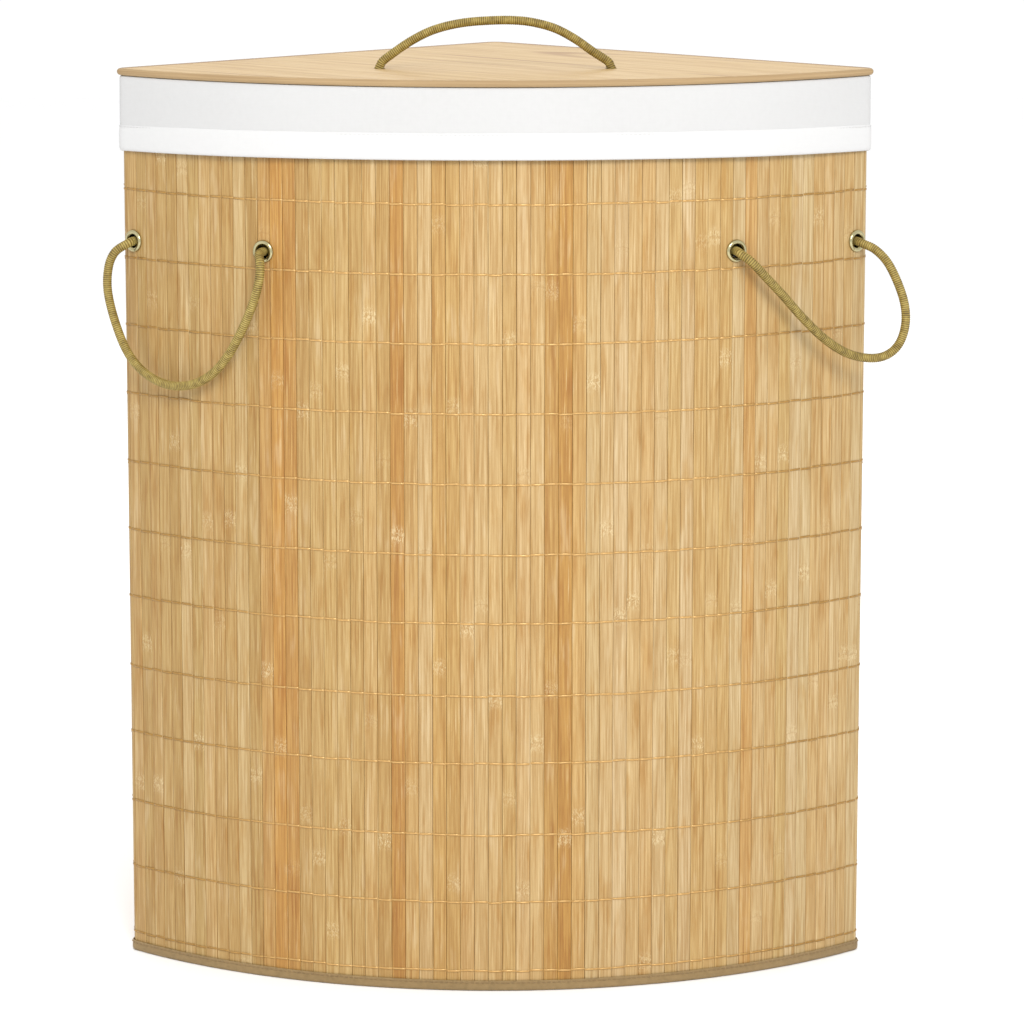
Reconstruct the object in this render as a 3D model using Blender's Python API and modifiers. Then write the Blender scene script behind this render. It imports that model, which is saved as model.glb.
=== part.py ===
"""Corner laundry hamper: a quarter-round basket of bamboo slats with a cloth liner and a loose lid.

Units are metres and +Z is up.  The round front faces -Y, the right angle at the back points to +Y,
and the origin is on the floor under the middle of the basket.
"""

import math

import bmesh
import bpy
from mathutils import Matrix, Vector

# ---------------------------------------------------------------- driving dimensions
ARC_RADIUS = 0.355          # from the back corner to the outer face of the front slats
CORNER_ROUNDING = 0.007     # radius of the three upright corners, on the outer face
LID_UNDERSIDE = 0.600       # height of the lid's underside above the floor
LID_THICKNESS = 0.0045
LID_OVERHANG = 0.003        # the lid stands this far outside the slats
LID_CORNER = 0.010
GAP = 0.0003                # clearance between pieces that touch

FRONT_SLATS = 59
SIDE_SLATS = 37
SLAT_THICKNESS = 0.0020
GROOVE_DEPTH = 0.0008
GROOVE_SHARE = 0.07         # half a groove's width, as a share of a slat
CLOTH_THICKNESS = 0.0006
WIRE_RADIUS = 0.00125
WIRE_CORNER = 0.0040
WIRE_FROM_EDGE = 0.0015     # the hoops stay this far inside the slats' ends
BINDING_HEIGHT = 0.0070
CUFF_THICKNESS = 0.0007
CUFF_BOTTOM = 0.5510
CUFF_INNER_DEPTH = 0.0250   # how far the cuff reaches down inside the rim
HEM_HEIGHT = 0.0165
HEM_THICKNESS = 0.0013
LINER_THICKNESS = 0.0008
LINER_INSET = 0.0170        # how far the liner hangs inside the slats, clear of the rope knots
LINER_CORNER = 0.010
LINER_FLOOR_TOP = 0.0075
FLARE_START = 0.525         # above this height the liner spreads out to the cuff
FLARE_MIDDLE = 0.545
BOARD_THICKNESS = 0.0030
BASE_CLOTH_THICKNESS = 0.0008

EYELET_HEIGHT = 0.490
EYELET_BEARINGS = (-42.8, -25.3, 26.4, 42.8)    # degrees round the front, from the centre line
EYELET_NAMES = ("left_outer", "left_inner", "right_inner", "right_outer")
EYELET_RADIUS = 0.0075
EYELET_BORE = 0.00425
EYELET_CLEARANCE = 0.0012   # the hole in the slats is this much wider than the bore, in radius
ROPE_RADIUS = 0.0030
PIVOT_OUTSET = 0.0060       # the ropes hinge this far outside the slats
LID_HOLE_SPREAD = 0.0770    # each lid hole, left and right of the centre line
LID_HOLE_REACH = 0.255      # and in front of the back corner
LID_PIVOT_RISE = 0.0050

# ---------------------------------------------------------------- worked-out sizes
LAYER_CLOTH = SLAT_THICKNESS + GAP
LAYER_WIRE = LAYER_CLOTH + CLOTH_THICKNESS + GAP + WIRE_RADIUS
LAYER_BINDING = LAYER_WIRE + WIRE_RADIUS + GAP
BINDING_OUTSET = GAP + CLOTH_THICKNESS
LAYER_CUFF = LAYER_BINDING + CLOTH_THICKNESS + GAP
CUFF_OUTSET = BINDING_OUTSET + GAP + CUFF_THICKNESS
CUFF_TOP = LID_UNDERSIDE - GAP
BINDING_TOP = CUFF_TOP - CUFF_THICKNESS - GAP
SLAT_TOP = BINDING_TOP - CLOTH_THICKNESS - GAP
SLAT_BOTTOM = CLOTH_THICKNESS + GAP
LID_RADIUS = ARC_RADIUS + LID_OVERHANG
LID_BACK_REACH = LID_OVERHANG * math.sqrt(2) - LID_CORNER * (math.sqrt(2) - 1)
APEX_Y = (LID_RADIUS - LID_BACK_REACH) / 2      # the back corner, with the origin at mid depth
FRONT_FACING = 0.0
WALL_FACING = math.radians(135)                 # bearing of the right wall's outer side
BACK_FACING = math.radians(180)
SEAM_TURN = 0.03                                # half the gap between two mats, as an angle
LINER_SEAM_TURN = 0.10                          # and between two liner panels

DRILL_LENGTH = 0.03
ROUTE_SPACING = 0.012       # between the points of a rope's centre line
PARTS = "corner_laundry_hamper"
CUTTERS = "cutters"

# Routes of the side ropes: bearing round the front (degrees), stand-off from the slats, height.
LEFT_ROUTE = (
    (-42.8, 0.0060, 0.4885), (-43.6, 0.0125, 0.4830), (-44.2, 0.0150, 0.4725), (-44.3, 0.0152, 0.4560),
    (-43.3, 0.0140, 0.4345), (-41.7, 0.0125, 0.4155), (-39.4, 0.0105, 0.4030), (-36.4, 0.0095, 0.3975),
    (-33.4, 0.0095, 0.3995), (-30.8, 0.0102, 0.4075), (-28.7, 0.0112, 0.4205), (-26.9, 0.0124, 0.4380),
    (-25.4, 0.0132, 0.4575), (-24.7, 0.0128, 0.4735), (-24.8, 0.0106, 0.4835), (-25.3, 0.0060, 0.4885),
)
RIGHT_ROUTE = (
    (26.4, 0.0060, 0.4885), (27.2, 0.0115, 0.4835), (28.5, 0.0138, 0.4745), (30.6, 0.0150, 0.4610),
    (33.0, 0.0162, 0.4450), (35.6, 0.0180, 0.4300), (38.2, 0.0208, 0.4195), (40.6, 0.0250, 0.4150),
    (42.4, 0.0298, 0.4160), (43.6, 0.0340, 0.4230), (44.2, 0.0360, 0.4350), (44.4, 0.0345, 0.4480),
    (44.2, 0.0300, 0.4620), (43.8, 0.0225, 0.4765), (43.3, 0.0140, 0.4850), (42.8, 0.0060, 0.4885),
)
# Route of the lid's rope: left or right of the centre line, forward of the holes, height over the lid.
LID_ROUTE = (
    (-0.0745, 0.0000, 0.0050), (-0.0690, 0.0003, 0.0093), (-0.0555, 0.0010, 0.0185),
    (-0.0405, 0.0018, 0.0258), (-0.0216, 0.0026, 0.0304), (0.0000, 0.0030, 0.0321),
    (0.0160, 0.0030, 0.0319), (0.0284, 0.0026, 0.0300), (0.0408, 0.0020, 0.0262),
    (0.0533, 0.0012, 0.0194), (0.0645, 0.0006, 0.0115), (0.0745, 0.0000, 0.0050),
)


# ---------------------------------------------------------------- scene and materials
def clear_scene():
    for item in list(bpy.data.objects):
        bpy.data.objects.remove(item, do_unlink=True)


def collection(name):
    group = bpy.data.collections.new(name)
    bpy.context.scene.collection.children.link(group)
    return group


def material(name, colour, roughness, metallic=0.0):
    made = bpy.data.materials.new(name)
    made.use_nodes = True
    shader = made.node_tree.nodes["Principled BSDF"]
    shader.inputs["Base Color"].default_value = (*colour, 1.0)
    shader.inputs["Roughness"].default_value = roughness
    shader.inputs["Metallic"].default_value = metallic
    return made


def add_object(name, data, group, look=None):
    item = bpy.data.objects.new(name, data)
    group.objects.link(item)
    if look is not None:
        data.materials.append(look)
    return item


def to_mesh(item, group, look=None):
    """Turn a curve object into a closed mesh object of the same name and place."""
    name = item.name
    bpy.context.view_layer.update()
    evaluated = item.evaluated_get(bpy.context.evaluated_depsgraph_get())
    mesh = bpy.data.meshes.new_from_object(evaluated)
    place = item.matrix_world.copy()
    bpy.data.objects.remove(item, do_unlink=True)
    form = bmesh.new()
    form.from_mesh(mesh)
    bmesh.ops.remove_doubles(form, verts=form.verts, dist=0.00001)
    bmesh.ops.recalc_face_normals(form, faces=form.faces)
    form.to_mesh(mesh)
    form.free()
    mesh.materials.clear()
    solid = add_object(name, mesh, group, look)
    solid.matrix_world = place
    return solid


def shade_round(item):
    item.data.shade_smooth()
    item.data.set_sharp_from_angle(angle=math.radians(35))


# ---------------------------------------------------------------- the quarter-round outline
# A sample of the outline is (x, y, bearing): bearing is the way its outer side faces, 0 to the
# front and 90 degrees to +X, so walking to larger bearings is anticlockwise seen from above.
def round_stretch(centre, radius, first, last, steps):
    samples = []
    for step in range(steps + 1):
        bearing = first + (last - first) * step / steps
        x = centre[0] + radius * math.sin(bearing)
        y = centre[1] - radius * math.cos(bearing)
        samples.append((x, y, bearing))
    return samples


def straight_stretch(start, end, steps):
    samples = []
    for step in range(1, steps):
        share = step / steps
        x = start[0] + (end[0] - start[0]) * share
        y = start[1] + (end[1] - start[1]) * share
        samples.append((x, y, start[2]))
    return samples


def corner_rounding(inset, corner):
    if corner is None:
        return max(CORNER_ROUNDING - inset, 0.0015)
    return corner


def front_corner(inset, corner):
    """Centre and first bearing of the rounding where the arc meets the right wall."""
    reach = ARC_RADIUS - inset - corner
    off_wall = inset + corner
    along_wall = math.sqrt(reach ** 2 - off_wall ** 2)
    half = math.sqrt(0.5)
    x = (along_wall - off_wall) * half
    forward = (along_wall + off_wall) * half
    return (x, APEX_Y - forward), math.atan2(x, forward)


def front_half(inset, corner=None, slats=15, round_steps=2, turn=0.0):
    """Samples from the front's centre to the middle of the right corner's rounding."""
    corner = corner_rounding(inset, corner)
    centre, start = front_corner(inset, corner)
    middle = (start + WALL_FACING) / 2 - turn
    arc = round_stretch((0.0, APEX_Y), ARC_RADIUS - inset, FRONT_FACING, start, slats)
    return arc + round_stretch(centre, corner, start, middle, round_steps)[1:]


def right_wall(inset, corner=None, slats=1, round_steps=2, turn=0.0):
    """Samples from the middle of the right corner's rounding to the middle of the back one's."""
    corner = corner_rounding(inset, corner)
    centre, start = front_corner(inset, corner)
    middle = (start + WALL_FACING) / 2 + turn
    back_centre = (0.0, APEX_Y - (inset + corner) * math.sqrt(2))
    first = round_stretch(centre, corner, middle, WALL_FACING, round_steps)
    last = round_stretch(back_centre, corner, WALL_FACING, BACK_FACING - turn, round_steps)
    return first + straight_stretch(first[-1], last[0], slats) + last


def mirrored(samples):
    return [(-x, y, -bearing) for x, y, bearing in reversed(samples)]


def front_wall(inset, corner=None, slats=15, round_steps=2, turn=0.0):
    half = front_half(inset, corner, slats, round_steps, turn)
    return mirrored(half)[:-1] + half


def whole_outline(inset, corner=None, slats=15):
    """The closed outline, anticlockwise from the front's centre."""
    half = front_half(inset, corner, slats) + right_wall(inset, corner)[1:]
    return half + mirrored(half)[1:-1]


def point_at(sample, inset=0.0):
    x, y, bearing = sample
    return (x - inset * math.sin(bearing), y + inset * math.cos(bearing))


def between(first, second, share):
    return tuple(a + (b - a) * share for a, b in zip(first, second))


# ---------------------------------------------------------------- makers
def plate(name, outlines, bottom, top, group, look):
    """A flat piece: closed outlines filled as a 2D curve, the inner ones left as holes."""
    data = bpy.data.curves.new(name, "CURVE")
    data.dimensions = "2D"
    data.fill_mode = "BOTH"
    data.extrude = (top - bottom) / 2
    for outline in outlines:
        spline = data.splines.new("POLY")
        spline.points.add(len(outline) - 1)
        for point, (x, y) in zip(spline.points, outline):
            point.co = (x, y, 0.0, 1.0)
        spline.use_cyclic_u = True
    item = add_object(name, data, group)
    item.location.z = (top + bottom) / 2
    return to_mesh(item, group, look)


def shell(name, rows, thickness, closed, group, look):
    """A sheet lofted through rows of points and thickened inwards; rows run bottom to top outside."""
    mesh = bpy.data.meshes.new(name)
    form = bmesh.new()
    lines = [[form.verts.new(point) for point in row] for row in rows]
    count = len(lines[0])
    for lower, upper in zip(lines, lines[1:]):
        for index in range(count if closed else count - 1):
            after = (index + 1) % count
            form.faces.new((lower[index], lower[after], upper[after], upper[index]))
    form.to_mesh(mesh)
    form.free()
    item = add_object(name, mesh, group, look)
    thicken = item.modifiers.new("thickness", "SOLIDIFY")
    thicken.thickness = thickness
    thicken.offset = -1.0
    thicken.use_even_offset = True
    return item


def row_at(samples, height):
    return [(x, y, height) for x, y, bearing in samples]


def ring_shell(name, profile, thickness, group, look):
    """A closed band whose profile of (inset, height) points is carried round the whole outline."""
    rows = [row_at(whole_outline(inset), height) for inset, height in profile]
    return shell(name, rows, thickness, True, group, look)


def tube(name, points, radius, closed, group, look):
    data = bpy.data.curves.new(name, "CURVE")
    data.dimensions = "3D"
    data.bevel_depth = radius
    data.bevel_resolution = 2
    data.use_fill_caps = not closed
    spline = data.splines.new("POLY")
    spline.points.add(len(points) - 1)
    for point, place in zip(spline.points, points):
        point.co = (*place, 1.0)
    spline.use_cyclic_u = closed
    item = to_mesh(add_object(name, data, group), group, look)
    shade_round(item)
    return item


def turned(name, profile, steps, closed, group, look):
    """A profile of (radius, height) points turned about the local Z axis."""
    mesh = bpy.data.meshes.new(name)
    edges = [(index, index + 1) for index in range(len(profile) - 1)]
    if closed:
        edges.append((len(profile) - 1, 0))
    mesh.from_pydata([(radius, 0.0, height) for radius, height in profile], edges, [])
    item = add_object(name, mesh, group, look)
    screw = item.modifiers.new("turn", "SCREW")
    screw.steps = steps
    screw.render_steps = steps
    screw.use_merge_vertices = True
    screw.merge_threshold = 0.00001
    return item


def facing(bearing, outset, height):
    """Placement on the front wall with local +Z pointing outwards."""
    outward = Vector((math.sin(bearing), -math.cos(bearing), 0.0))
    turn = outward.to_track_quat("Z", "Y").to_matrix().to_4x4()
    place = outward * (ARC_RADIUS + outset)
    return Matrix.Translation((place.x, place.y + APEX_Y, height)) @ turn


def drill(name, items, places, radius, group):
    """Cut round holes through items; each place has its local Z along the hole."""
    for index, place in enumerate(places):
        bpy.ops.mesh.primitive_cylinder_add(vertices=20, radius=radius, depth=DRILL_LENGTH)
        cutter = bpy.context.active_object
        for owner in list(cutter.users_collection):
            owner.objects.unlink(cutter)
        group.objects.link(cutter)
        cutter.name = f"{name}_{index}"
        cutter.matrix_world = place
        cutter.hide_render = True
        cutter.display_type = "WIRE"
        for item in items:
            cut = item.modifiers.new(f"hole_{index}", "BOOLEAN")
            cut.operation = "DIFFERENCE"
            cut.solver = "EXACT"
            cut.object = cutter


def smooth_route(knots, spacing):
    """Points at even steps along a smooth curve through the knots."""
    knots = [Vector(knot) for knot in knots]
    padded = [knots[0] * 2 - knots[1]] + knots + [knots[-1] * 2 - knots[-2]]
    dense = []
    steps = 12
    for before, start, end, after in zip(padded, padded[1:], padded[2:], padded[3:]):
        for step in range(steps):
            t = step / steps
            bend = 2 * before - 5 * start + 4 * end - after
            twist = 3 * start - before - 3 * end + after
            dense.append((2 * start + (end - before) * t + bend * t ** 2 + twist * t ** 3) / 2)
    dense.append(knots[-1])
    travelled = [0.0]
    for first, second in zip(dense, dense[1:]):
        travelled.append(travelled[-1] + (second - first).length)
    count = round(travelled[-1] / spacing)
    points = []
    index = 0
    for step in range(count + 1):
        target = travelled[-1] * step / count
        while index < len(dense) - 2 and travelled[index + 1] < target:
            index += 1
        share = (target - travelled[index]) / (travelled[index + 1] - travelled[index])
        points.append(dense[index].lerp(dense[index + 1], min(share, 1.0)))
    return points


# ---------------------------------------------------------------- the basket
def slat_outline(samples):
    """Outline of a mat seen from above: a flat face for each slat and a groove between slats.

    The short facets of a rounded corner are one bent slat, with no groove inside it.
    """
    outline = [point_at(samples[0])]
    for start, end in zip(samples, samples[1:]):
        if math.dist(start[:2], end[:2]) < CORNER_ROUNDING / 2:
            outline.append(point_at(end))
            continue
        outline[-1] = point_at(start, GROOVE_DEPTH)
        outline.append(point_at(between(start, end, GROOVE_SHARE)))
        outline.append(point_at(between(start, end, 1 - GROOVE_SHARE)))
        outline.append(point_at(end, GROOVE_DEPTH))
    inner = [point_at(sample, SLAT_THICKNESS) for sample in reversed(samples)]
    return outline + inner


def make_mats(group, bamboo):
    # the front has an odd number of slats, so its middle slat lies across the centre line
    half = front_half(0.0, slats=FRONT_SLATS, turn=SEAM_TURN)
    arc = half[1:FRONT_SLATS + 1:2]
    corner = half[FRONT_SLATS + 1:]
    front = mirrored(arc + corner) + arc + corner
    mats = [plate("front_slat_mat", [slat_outline(front)], SLAT_BOTTOM, SLAT_TOP, group, bamboo)]
    side = right_wall(0.0, slats=SIDE_SLATS, turn=SEAM_TURN)
    for name, samples in (("right_slat_mat", side), ("left_slat_mat", mirrored(side))):
        mats.append(plate(name, [slat_outline(samples)], SLAT_BOTTOM, SLAT_TOP, group, bamboo))
    return mats


def make_basket(group, cutters, looks):
    mats = make_mats(group, looks["bamboo"])
    cloth_profile = ((LAYER_CLOTH, SLAT_BOTTOM), (LAYER_CLOTH, SLAT_TOP))
    cloth = ring_shell("backing_cloth", cloth_profile, CLOTH_THICKNESS, group, looks["backing"])
    places = [facing(math.radians(bearing), 0.0, EYELET_HEIGHT) for bearing in EYELET_BEARINGS]
    drill("eyelet_hole", (mats[0], cloth), places, EYELET_BORE + EYELET_CLEARANCE, cutters)

    wire_row = whole_outline(LAYER_WIRE, WIRE_CORNER)
    lift = WIRE_RADIUS + WIRE_FROM_EDGE
    for name, height in (("bottom_wire_hoop", lift + GAP), ("top_wire_hoop", SLAT_TOP - lift)):
        tube(name, row_at(wire_row, height), WIRE_RADIUS, True, group, looks["wire"])

    low = (
        (LAYER_BINDING + CLOTH_THICKNESS, BINDING_HEIGHT),
        (LAYER_BINDING + CLOTH_THICKNESS, 0.0),
        (-BINDING_OUTSET, 0.0),
        (-BINDING_OUTSET, BINDING_HEIGHT),
    )
    ring_shell("bottom_binding", low, CLOTH_THICKNESS, group, looks["binding"])
    skirt = BINDING_TOP - BINDING_HEIGHT
    high = (
        (-BINDING_OUTSET, skirt),
        (-BINDING_OUTSET, BINDING_TOP),
        (LAYER_BINDING + CLOTH_THICKNESS, BINDING_TOP),
        (LAYER_BINDING + CLOTH_THICKNESS, skirt),
    )
    ring_shell("top_binding", high, CLOTH_THICKNESS, group, looks["binding"])
    make_base(group, looks)


def make_base(group, looks):
    inset = LAYER_BINDING + CLOTH_THICKNESS + GAP
    outline = [point_at(sample) for sample in whole_outline(inset)]
    board_bottom = BASE_CLOTH_THICKNESS + GAP
    plate("base_cloth", [outline], 0.0, BASE_CLOTH_THICKNESS, group, looks["backing"])
    plate("base_board", [outline], board_bottom, board_bottom + BOARD_THICKNESS, group, looks["board"])


def make_eyelets(group, looks):
    bore = EYELET_BORE
    neck = EYELET_BORE + 0.0006
    rear = -(LAYER_CLOTH + CLOTH_THICKNESS + GAP)
    flange = (
        (bore, 0.0010), (bore + 0.0008, 0.0016), (EYELET_RADIUS - 0.0010, 0.0013),
        (EYELET_RADIUS, GAP + 0.0002), (EYELET_RADIUS - 0.0006, GAP), (neck, GAP),
        (neck, rear - 0.0014), (bore, rear - 0.0014),
    )
    washer = (
        (neck + 0.0002, rear), (EYELET_RADIUS - 0.0006, rear),
        (EYELET_RADIUS - 0.0006, rear - 0.0006), (neck + 0.0002, rear - 0.0006),
    )
    for name, degrees in zip(EYELET_NAMES, EYELET_BEARINGS):
        place = facing(math.radians(degrees), 0.0, EYELET_HEIGHT)
        for kind, profile in (("eyelet", flange), ("eyelet_washer", washer)):
            ring = turned(f"{name}_{kind}", profile, 20, True, group, looks["metal"])
            ring.matrix_world = place


# ---------------------------------------------------------------- ropes
def knot_profile(stub_top, knot_top):
    """A rope's end: a stub of rope on the local Z axis with its knot below."""
    full = 0.0060
    return (
        (0.0, stub_top), (ROPE_RADIUS, stub_top), (ROPE_RADIUS, knot_top),
        (full * 0.8, knot_top - 0.0012), (full, knot_top - 0.0045),
        (full * 0.7, knot_top - 0.0085), (0.0, knot_top - 0.0095),
    )


def pivot(name, axis_point, group):
    empty = bpy.data.objects.new(name, None)
    empty.location = axis_point
    group.objects.link(empty)
    bpy.context.view_layer.update()
    return empty


def hang_from(item, empty):
    item.parent = empty
    item.matrix_parent_inverse = empty.matrix_world.inverted()


def wall_route(route):
    points = []
    for degrees, outset, height in route:
        bearing = math.radians(degrees)
        radius = ARC_RADIUS + outset
        points.append((radius * math.sin(bearing), APEX_Y - radius * math.cos(bearing), height))
    return points


def make_side_ropes(group, looks):
    knot_top = -(LAYER_CLOTH + CLOTH_THICKNESS + 3 * GAP + 0.0014)
    stub_top = PIVOT_OUTSET - ROPE_RADIUS - GAP * 2
    knot = knot_profile(stub_top, knot_top)
    for name, degrees in zip(EYELET_NAMES, EYELET_BEARINGS):
        end = turned(f"{name}_rope_knot", knot, 12, False, group, looks["rope"])
        end.matrix_world = facing(math.radians(degrees), 0.0, EYELET_HEIGHT)
    for side, route in (("left", LEFT_ROUTE), ("right", RIGHT_ROUTE)):
        ends = wall_route(route)
        middle = (Vector(ends[0]) + Vector(ends[-1])) / 2
        path = smooth_route(ends, ROUTE_SPACING)
        rope = tube(f"{side}_handle_rope", path, ROPE_RADIUS, False, group, looks["rope"])
        hang_from(rope, pivot(f"{side}_handle_pivot", middle, group))


def lid_hole_places():
    y = APEX_Y - LID_HOLE_REACH
    return [Matrix.Translation((side * LID_HOLE_SPREAD, y, LID_UNDERSIDE)) for side in (-1, 1)]


def make_lid(group, cutters, looks):
    """Core board, top veneer and the strip glued round the edge."""
    veneer = 0.0006
    band = 0.0010
    top = LID_UNDERSIDE + LID_THICKNESS
    core_outline = [point_at(s) for s in whole_outline(band + GAP - LID_OVERHANG, LID_CORNER - band)]
    core = plate("lid_board", [core_outline], LID_UNDERSIDE, top - veneer - GAP, group, looks["board"])
    skin = plate("lid_top_veneer", [core_outline], top - veneer, top, group, looks["lid"])
    hole = ROPE_RADIUS + 0.0004
    drill("lid_hole", (core, skin), lid_hole_places(), hole, cutters)

    edge_rows = []
    for inset, height in ((0.0005, 0.0), (0.0, 0.0008), (0.0, LID_THICKNESS - 0.0008),
                          (0.0005, LID_THICKNESS)):
        edge_rows.append(row_at(whole_outline(inset - LID_OVERHANG, LID_CORNER), LID_UNDERSIDE + height))
    strip = shell("lid_edge_band", edge_rows, band * 0.6, True, group, looks["edge"])
    shade_round(strip)

    knot = knot_profile(LID_THICKNESS + LID_PIVOT_RISE - ROPE_RADIUS - GAP * 2, -0.0006)
    for name, place in zip(("lid_left", "lid_right"), lid_hole_places()):
        end = turned(f"{name}_rope_knot", knot, 12, False, group, looks["rope"])
        end.matrix_world = place
    y = APEX_Y - LID_HOLE_REACH
    route = [(x, y - forward, top + rise) for x, forward, rise in LID_ROUTE]
    path = smooth_route(route, ROUTE_SPACING)
    rope = tube("lid_handle_rope", path, ROPE_RADIUS, False, group, looks["rope"])
    hang_from(rope, pivot("lid_handle_pivot", (0.0, y, top + LID_PIVOT_RISE), group))


# ---------------------------------------------------------------- the liner
def make_liner(group, looks):
    """A bag of three wall panels and a floor, with a cuff turned over the rim and a hem on it."""
    hem_top = CUFF_BOTTOM + HEM_HEIGHT
    inner_foot = CUFF_TOP - CUFF_INNER_DEPTH
    turn = 0.0006
    inner = LAYER_CUFF + CUFF_THICKNESS
    cuff = (
        (-CUFF_OUTSET, hem_top + GAP), (-CUFF_OUTSET, CUFF_TOP - turn), (turn - CUFF_OUTSET, CUFF_TOP),
        (inner - turn, CUFF_TOP), (inner, CUFF_TOP - turn), (inner, inner_foot),
    )
    ring_shell("liner_cuff", cuff, CUFF_THICKNESS, group, looks["liner"])
    hem_outset = BINDING_OUTSET + GAP + HEM_THICKNESS
    hem = ((-hem_outset, CUFF_BOTTOM), (-hem_outset, hem_top))
    ring_shell("liner_cuff_hem", hem, HEM_THICKNESS, group, looks["liner"])

    rows = (
        (LINER_INSET, LINER_CORNER, LINER_FLOOR_TOP + GAP),
        (LINER_INSET, LINER_CORNER, FLARE_START),
        (LINER_INSET - 0.0030, LINER_CORNER * 0.8, FLARE_MIDDLE),
        (LAYER_CUFF, LINER_CORNER * 0.4, inner_foot - GAP),
    )
    front = [row_at(front_wall(i, c, slats=13, turn=LINER_SEAM_TURN), z) for i, c, z in rows]
    side = [row_at(right_wall(i, c, turn=LINER_SEAM_TURN), z) for i, c, z in rows]
    other = [row_at(mirrored(right_wall(i, c, turn=LINER_SEAM_TURN)), z) for i, c, z in rows]
    for name, lines in (("front", front), ("right", side), ("left", other)):
        shell(f"liner_{name}_panel", lines, LINER_THICKNESS, False, group, looks["liner"])
    outline = [point_at(sample) for sample in whole_outline(LINER_INSET, LINER_CORNER)]
    bottom = LINER_FLOOR_TOP - LINER_THICKNESS
    plate("liner_floor", [outline], bottom, LINER_FLOOR_TOP, group, looks["liner"])


def main():
    clear_scene()
    group = collection(PARTS)
    cutters = collection(CUTTERS)
    looks = {
        "bamboo": material("bamboo_slats", (0.68, 0.45, 0.20), 0.55),
        "backing": material("backing_cloth", (0.62, 0.55, 0.42), 0.9),
        "wire": material("hoop_wire", (0.55, 0.55, 0.55), 0.35, 1.0),
        "binding": material("binding_tape", (0.35, 0.23, 0.11), 0.85),
        "board": material("board", (0.60, 0.44, 0.26), 0.7),
        "metal": material("eyelet_metal", (0.80, 0.74, 0.60), 0.25, 1.0),
        "rope": material("rope", (0.41, 0.31, 0.09), 0.85),
        "lid": material("lid_veneer", (0.80, 0.61, 0.35), 0.45),
        "edge": material("lid_edge", (0.50, 0.33, 0.15), 0.5),
        "liner": material("liner_cotton", (0.90, 0.90, 0.88), 0.9),
    }
    make_basket(group, cutters, looks)
    make_eyelets(group, looks)
    make_side_ropes(group, looks)
    make_lid(group, cutters, looks)
    make_liner(group, looks)
    bpy.context.view_layer.update()


main()
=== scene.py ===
"""The looks of the corner laundry hamper: bamboo slats, threads, ropes, eyelets, cotton liner and lid.

Units are metres and +Z is up.  The round front faces -Y and the right angle at the back points to +Y.
"""

import math
import random

import bpy
from mathutils import Matrix, Vector, noise


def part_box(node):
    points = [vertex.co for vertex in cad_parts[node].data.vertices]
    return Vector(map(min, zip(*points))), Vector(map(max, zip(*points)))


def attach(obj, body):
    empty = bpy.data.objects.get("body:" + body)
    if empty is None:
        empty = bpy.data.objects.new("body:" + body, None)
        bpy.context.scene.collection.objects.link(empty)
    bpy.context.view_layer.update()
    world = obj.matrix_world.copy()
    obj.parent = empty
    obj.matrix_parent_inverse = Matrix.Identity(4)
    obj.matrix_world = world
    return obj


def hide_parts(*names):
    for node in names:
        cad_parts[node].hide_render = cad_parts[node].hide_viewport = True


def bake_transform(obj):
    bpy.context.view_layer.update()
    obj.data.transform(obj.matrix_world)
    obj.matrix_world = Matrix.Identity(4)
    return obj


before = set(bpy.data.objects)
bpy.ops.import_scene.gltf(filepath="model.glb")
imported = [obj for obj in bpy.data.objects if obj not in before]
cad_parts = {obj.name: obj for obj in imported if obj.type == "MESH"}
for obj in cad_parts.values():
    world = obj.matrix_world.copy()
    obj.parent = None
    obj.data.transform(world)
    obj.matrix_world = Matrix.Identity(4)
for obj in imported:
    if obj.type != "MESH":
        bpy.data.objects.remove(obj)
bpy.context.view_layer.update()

# ---------------------------------------------------------------- sizes, from the frame where it has them
ARC_RADIUS = 0.355              # back corner to the outer face of the front slats
CORNER_ROUNDING = 0.007
LID_OVERHANG = 0.003
LID_CORNER = 0.010
LID_EDGE_ROUNDING = 0.0016
LID_FLAT_INSET = 0.0040         # outermost ring of the lid's flat faces
LID_LOW, LID_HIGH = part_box("lid_edge_band")
APEX_Y = LID_LOW.y + ARC_RADIUS + LID_OVERHANG
LID_BOTTOM = LID_LOW.z
LID_TOP = LID_HIGH.z
SLAT_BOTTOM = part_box("front_slat_mat")[0].z
SLAT_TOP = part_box("front_slat_mat")[1].z
CUFF_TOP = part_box("liner_cuff")[1].z
CUFF_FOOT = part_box("liner_front_panel")[1].z
LINER_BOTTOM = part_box("liner_floor")[1].z
BINDING_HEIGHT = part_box("bottom_binding")[1].z
TOP_BINDING_LOW, TOP_BINDING_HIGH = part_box("top_binding")

FRONT_SLATS = 59
SIDE_SLATS = 37
SLAT_PITCH = ARC_RADIUS * math.pi / 2 / FRONT_SLATS
SLAT_THICKNESS = 0.0020
SLAT_GAP = 0.00004              # least half gap between two slats: more than their drift, so none overlap
SLAT_GAP_SPREAD = 0.00008
SLAT_DRIFT = 0.00003            # how far a slat's long edges wander
SLAT_BULGE = 0.00010            # how far its face swells along its length
SLAT_LIFT = 0.00016             # how unevenly the slats stand
SLAT_LEVELS = 13                # lengths that a slat's mesh is divided into
NODE_SPACING = (0.24, 0.34)     # between a slat's two growth nodes
TOASTED_SHARE = 0.12            # of the flat walls' slats
THREAD_SIDES = 6
THREAD_HALF_DEPTH = 0.00022
THREAD_HALF_HEIGHT = 0.00070
STITCH_HALF_HEIGHT = 0.00026
STITCH_PROFILE = (              # share of the stitch's pitch, and its rise off the cloth there
    (0.12, -0.00035), (0.2, 0.0001), (0.5, 0.0002), (0.8, 0.0001), (0.88, -0.00035),
)
HEM_STITCH_ARCH = 0.0033
HEM_STITCH_DROP = 0.0016        # below the hem's upper edge
FOOT_STITCH_DROP = 0.0014       # below the foot tape's upper edge
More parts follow.
